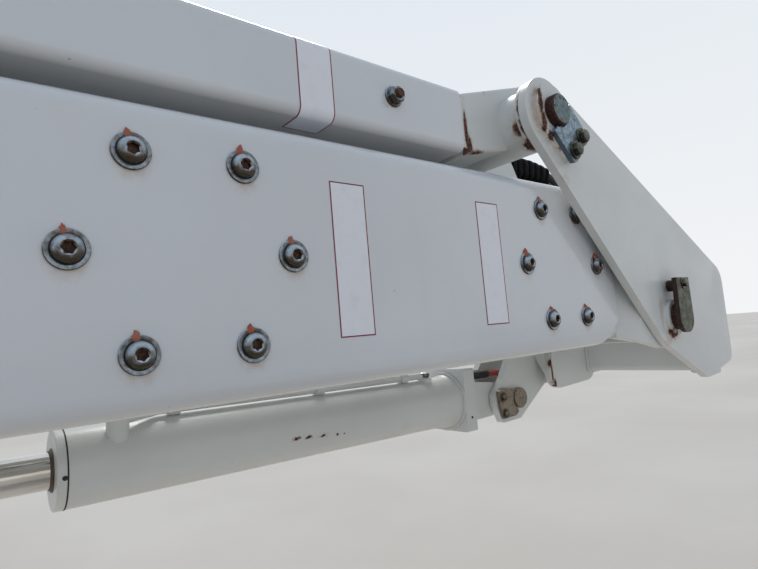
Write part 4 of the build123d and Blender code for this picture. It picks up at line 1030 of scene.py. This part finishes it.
def rod_seals():
    """Dark wiper lips round both rods at their glands, and a thin near-black ring of painted shade on the
    seam of the upper barrel's ring.
    """
    lift_base = middle("lift_base_pin")
    lift_start = Vector((lift_base.x, 0.0, lift_base.z))
    lift_way = (Vector((lift_eye.x, 0.0, lift_eye.z)) - lift_start).normalized()
    lift_end = lift_start + lift_way * LIFT_GLAND_END * MM
    for name, body, start, way, radius in (
        ("upper_wiper", "upper_barrel", along_barrel(RING_END), barrel_way, ROD_RADIUS),
        ("lift_wiper", "lift_barrel", lift_end, lift_way, LIFT_ROD_RADIUS),
    ):
        rows = [(radius + reach, height, 0, 0) for reach, height in WIPER]
        collar(name, body, start, way, rows, [wiper_brown])
    rows = [(BARREL_RADIUS + reach, height, 0, 0) for reach, height in RING_SEAM]
    collar("ring_seam", "upper_barrel", along_barrel(RING_START), barrel_way, rows, [painted_shade_dark])


# Small screws in the barrel's ring and on its end block, rows as for rings, drawn wholly in near-black
# painted shade as dark holes
SCREW = [(2.9, -1.0, 0, 0), (2.9, 0.25, 0, 0), (2.5, 0.4, 0, 1), (1.5, 0.35, 1, 2), (1.4, 0.15, 1, 2)]
RING_SCREW = (-997.2, 158.0, -119.6)
BLOCK_SCREW = (-294.9, -165.0)


def barrel_screws():
    form = Form()
    axis_at = along_barrel((-RING_SCREW[0] + BARREL_AXIS[0]) / math.cos(BARREL_SLOPE))
    out = place(*RING_SCREW) - axis_at
    out = (out - barrel_way * out.dot(barrel_way)).normalized()
    seat = axis_at + out * (BARREL_RADIUS + 0.05) * MM
    form.add(rings(SCREW), Matrix.Translation(seat) @ standing(out))
    block_y = local(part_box("upper_barrel")[0]).y
    form.add(rings(SCREW), facing(BLOCK_SCREW[0], block_y, BLOCK_SCREW[1], (0, -1, 0), 0.0, 0.9))
    form.make("barrel_screws", "upper_barrel", [painted_shade_dark, painted_shade_dark, painted_shade_dark])


# Upper hoses: the sleeve follows the middle of the bundle, points (x, z) beside the elbow pin
SLEEVE_ROUTE = [(-112.0, 387.0), (-50.0, 390.0), (0.0, 392.0), (40.0, 391.0), (75.0, 387.0), (104.0, 381.0)]
SLEEVE_HALF = (45.0, 31.0)
SLEEVE_PITCH = 24.0
SLEEVE_RIDGE = 3.4
SLEEVE_STEP = 1.8
SLEEVE_SIDES = 40


def hose_sleeve():
    """Black spiral guard round the six hoses where they leave the boom's mouth."""
    points = walk([place(x, UPPER_Y, z) for x, z in SLEEVE_ROUTE], SLEEVE_STEP)
    verts = []
    run = 0.0
    for i, point in enumerate(points):
        before = points[max(i - 1, 0)]
        after = points[min(i + 1, len(points) - 1)]
        heading = (after - before).normalized()
        up = heading.cross(Vector((0.0, -1.0, 0.0))).normalized()
        if up.z < 0:
            up = -up
        run += (after - before).length / 2 / MM if i else 0.0
        for k in range(SLEEVE_SIDES):
            angle = 2 * math.pi * k / SLEEVE_SIDES
            phase = (run / SLEEVE_PITCH + k / SLEEVE_SIDES) % 1.0
            ridge = SLEEVE_RIDGE * (min(1.0, 4.0 * min(phase, 1.0 - phase)) - 1.0)
            squash = (abs(math.cos(angle)) ** 4 + abs(math.sin(angle)) ** 4) ** -0.25
            across = math.cos(angle) * squash * (SLEEVE_HALF[0] + ridge)
            rise = math.sin(angle) * squash * (SLEEVE_HALF[1] + ridge)
            verts.append(point + Vector((0.0, 1.0, 0.0)) * across * MM + up * rise * MM)
    faces = skin_faces(len(points), SLEEVE_SIDES) + cap_faces(len(points), SLEEVE_SIDES)
    form = Form()
    form.add((verts, faces, [0] * len(faces)))
    form.make("hose_sleeve", "upper_boom", [sleeve_rubber], sharp=35.0)


# Hose fittings at the bulkhead, which the six hoses meet in two rows
BULKHEAD_Z = (120.0, 128.0)
HOSE_COLUMNS = (180.0, 206.0, 232.0)
HOSE_ROWS = (225.0, 255.0)
FITTING_TOP = [
    (11.6, 0.0, 1, 0),
    (11.6, 9.0, 1, 0),
    (11.4, 10.0, 0, 0),
    (12.4, 10.2, 0, 0),
    (12.4, 34.0, 0, 0),
    (11.8, 35.0, 0, 0),
    (11.1, 35.2, 0, 0),
]
FITTING_LOW = [
    (11.6, 0.0, 1, 0),
    (11.6, 9.0, 1, 0),
    (10.6, 10.0, 0, 0),
    (8.0, 10.2, 0, 0),
    (8.0, 24.0, 0, 0),
    (7.0, 25.0, 0, 0),
]


def hose_fittings():
    """Swaged ends above the bulkhead, lock nuts and stubs under it."""
    form = Form()
    for x in HOSE_ROWS:
        for i, y in enumerate(HOSE_COLUMNS):
            form.add(rings(FITTING_TOP), facing(x, y, BULKHEAD_Z[1], (0, 0, 1), 20.0 * i))
            form.add(rings(FITTING_LOW), facing(x, y, BULKHEAD_Z[0], (0, 0, -1), 35.0 * i))
    form.make("hose_fittings", "upper_boom", [zinc])


# Swaged sleeves of the two port hoses, from (x, z) to (x, z) beside the elbow pin
PORT_COLUMNS = [local(middle(node)).y for node in ("port_hose_red", "port_hose_black")]
FERRULE_START = (-280.6, -89.0)
FERRULE_END = (-181.0, -91.4)
FERRULE = [
    (7.4, 0.0, 0, 0),
    (8.6, 1.2, 0, 0),
    (8.6, 90.0, 0, 0),
    (8.0, 97.0, 0, 0),
    (6.4, 99.0, 0, 0),
]


def port_ferrules():
    """Black swaged sleeves on the two hoses at the end block."""
    form = Form()
    way = (FERRULE_END[0] - FERRULE_START[0], 0.0, FERRULE_END[1] - FERRULE_START[1])
    for y in PORT_COLUMNS:
        form.add(rings(FERRULE), facing(FERRULE_START[0], y, FERRULE_START[1], way))
    form.make("port_ferrules", "upper_barrel", [black_rubber])


boom_bolts()
torque_marks()
boom_labels()
link_label()
link_bolts()
upper_boom_bolts()
keeper_bolts()
welds()
sealant_beads()
hub_collars()
rod_seals()
barrel_neck()
barrel_pipe()
barrel_screws()
hose_sleeve()
hose_fittings()
port_ferrules()

# Plain daylight: a pale sky, a soft key from above and behind, and a pale floor
SKY = (0.74, 0.85, 1.0, 1.0)
GROUND = (0.86, 0.80, 0.72, 1.0)
BACKDROP_HIGH = (0.74, 0.80, 0.87, 1.0)
BACKDROP_LOW = (0.90, 0.91, 0.92, 1.0)
SKY_LEVEL = 0.60
KEY_LEVEL = 1.5
KEY_SPREAD = 0.30
KEY_COLOUR = (1.0, 0.96, 0.90)
KEY_FROM = (0.45, 0.62, 0.95)
FLOOR_HALF = 40.0
FLOOR_PALE = (0.66, 0.62, 0.57, 1.0)
FLOOR_DARKER = (0.60, 0.56, 0.51, 1.0)
LIGHT_BAND = (-0.1, 0.3)  # heights of the direction between which the two colours blend
BACKDROP_BAND = (0.0, 0.7)


def ray_is_seen(tree):
    """One for camera, glossy and transmission rays."""
    path = tree.nodes.new("ShaderNodeLightPath")
    seen = path.outputs["Is Camera Ray"]
    for kind in ("Is Glossy Ray", "Is Transmission Ray"):
        node = tree.nodes.new("ShaderNodeMath")
        node.operation = "MAXIMUM"
        tree.links.new(seen, node.inputs[0])
        tree.links.new(path.outputs[kind], node.inputs[1])
        seen = node.outputs[0]
    return seen


def height_blend(tree, low, high, low_at, high_at):
    """Colour by height of the direction looked in."""
    coords = tree.nodes.new("ShaderNodeTexCoord")
    split = tree.nodes.new("ShaderNodeSeparateXYZ")
    tree.links.new(coords.outputs["Generated"], split.inputs[0])
    spread = tree.nodes.new("ShaderNodeMapRange")
    spread.inputs["From Min"].default_value = low_at
    spread.inputs["From Max"].default_value = high_at
    tree.links.new(split.outputs["Z"], spread.inputs["Value"])
    mix = tree.nodes.new("ShaderNodeMix")
    mix.data_type = "RGBA"
    tree.links.new(spread.outputs["Result"], mix.inputs[0])
    mix.inputs[6].default_value = low
    mix.inputs[7].default_value = high
    return mix.outputs[2]


def studio():
    scene = bpy.context.scene
    scene.view_settings.view_transform = "Standard"
    world = bpy.data.worlds.new("studio")
    scene.world = world
    world.use_nodes = True
    tree = world.node_tree
    lighting = tree.nodes["Background"]
    lighting.inputs["Strength"].default_value = SKY_LEVEL
    tree.links.new(height_blend(tree, GROUND, SKY, *LIGHT_BAND), lighting.inputs["Color"])
    seen = tree.nodes.new("ShaderNodeBackground")
    tree.links.new(height_blend(tree, BACKDROP_LOW, BACKDROP_HIGH, *BACKDROP_BAND), seen.inputs["Color"])
    mix = tree.nodes.new("ShaderNodeMixShader")
    tree.links.new(ray_is_seen(tree), mix.inputs[0])
    tree.links.new(lighting.outputs[0], mix.inputs[1])
    tree.links.new(seen.outputs[0], mix.inputs[2])
    tree.links.new(mix.outputs[0], tree.nodes["World Output"].inputs["Surface"])

    key_data = bpy.data.lights.new("key", "SUN")
    key_data.energy = KEY_LEVEL
    key_data.angle = KEY_SPREAD
    key_data.color = KEY_COLOUR
    key = bpy.data.objects.new("key", key_data)
    key.rotation_euler = Vector(KEY_FROM).to_track_quat("Z", "Y").to_euler()
    scene.collection.objects.link(key)

    mesh = bpy.data.meshes.new("floor")
    corners = [(a * FLOOR_HALF, b * FLOOR_HALF, 0) for a, b in ((-1, -1), (1, -1), (1, 1), (-1, 1))]
    mesh.from_pydata(corners, [], [(0, 1, 2, 3)])
    recipe = Recipe("floor_finish", 0.8)
    cloudy = recipe.step(recipe.noise(0.9, 5.0), 0.3, 0.7)
    mesh.materials.append(recipe.finish(recipe.blend(cloudy, FLOOR_PALE, FLOOR_DARKER)))
    floor = bpy.data.objects.new("floor", mesh)
    scene.collection.objects.link(floor)


studio()
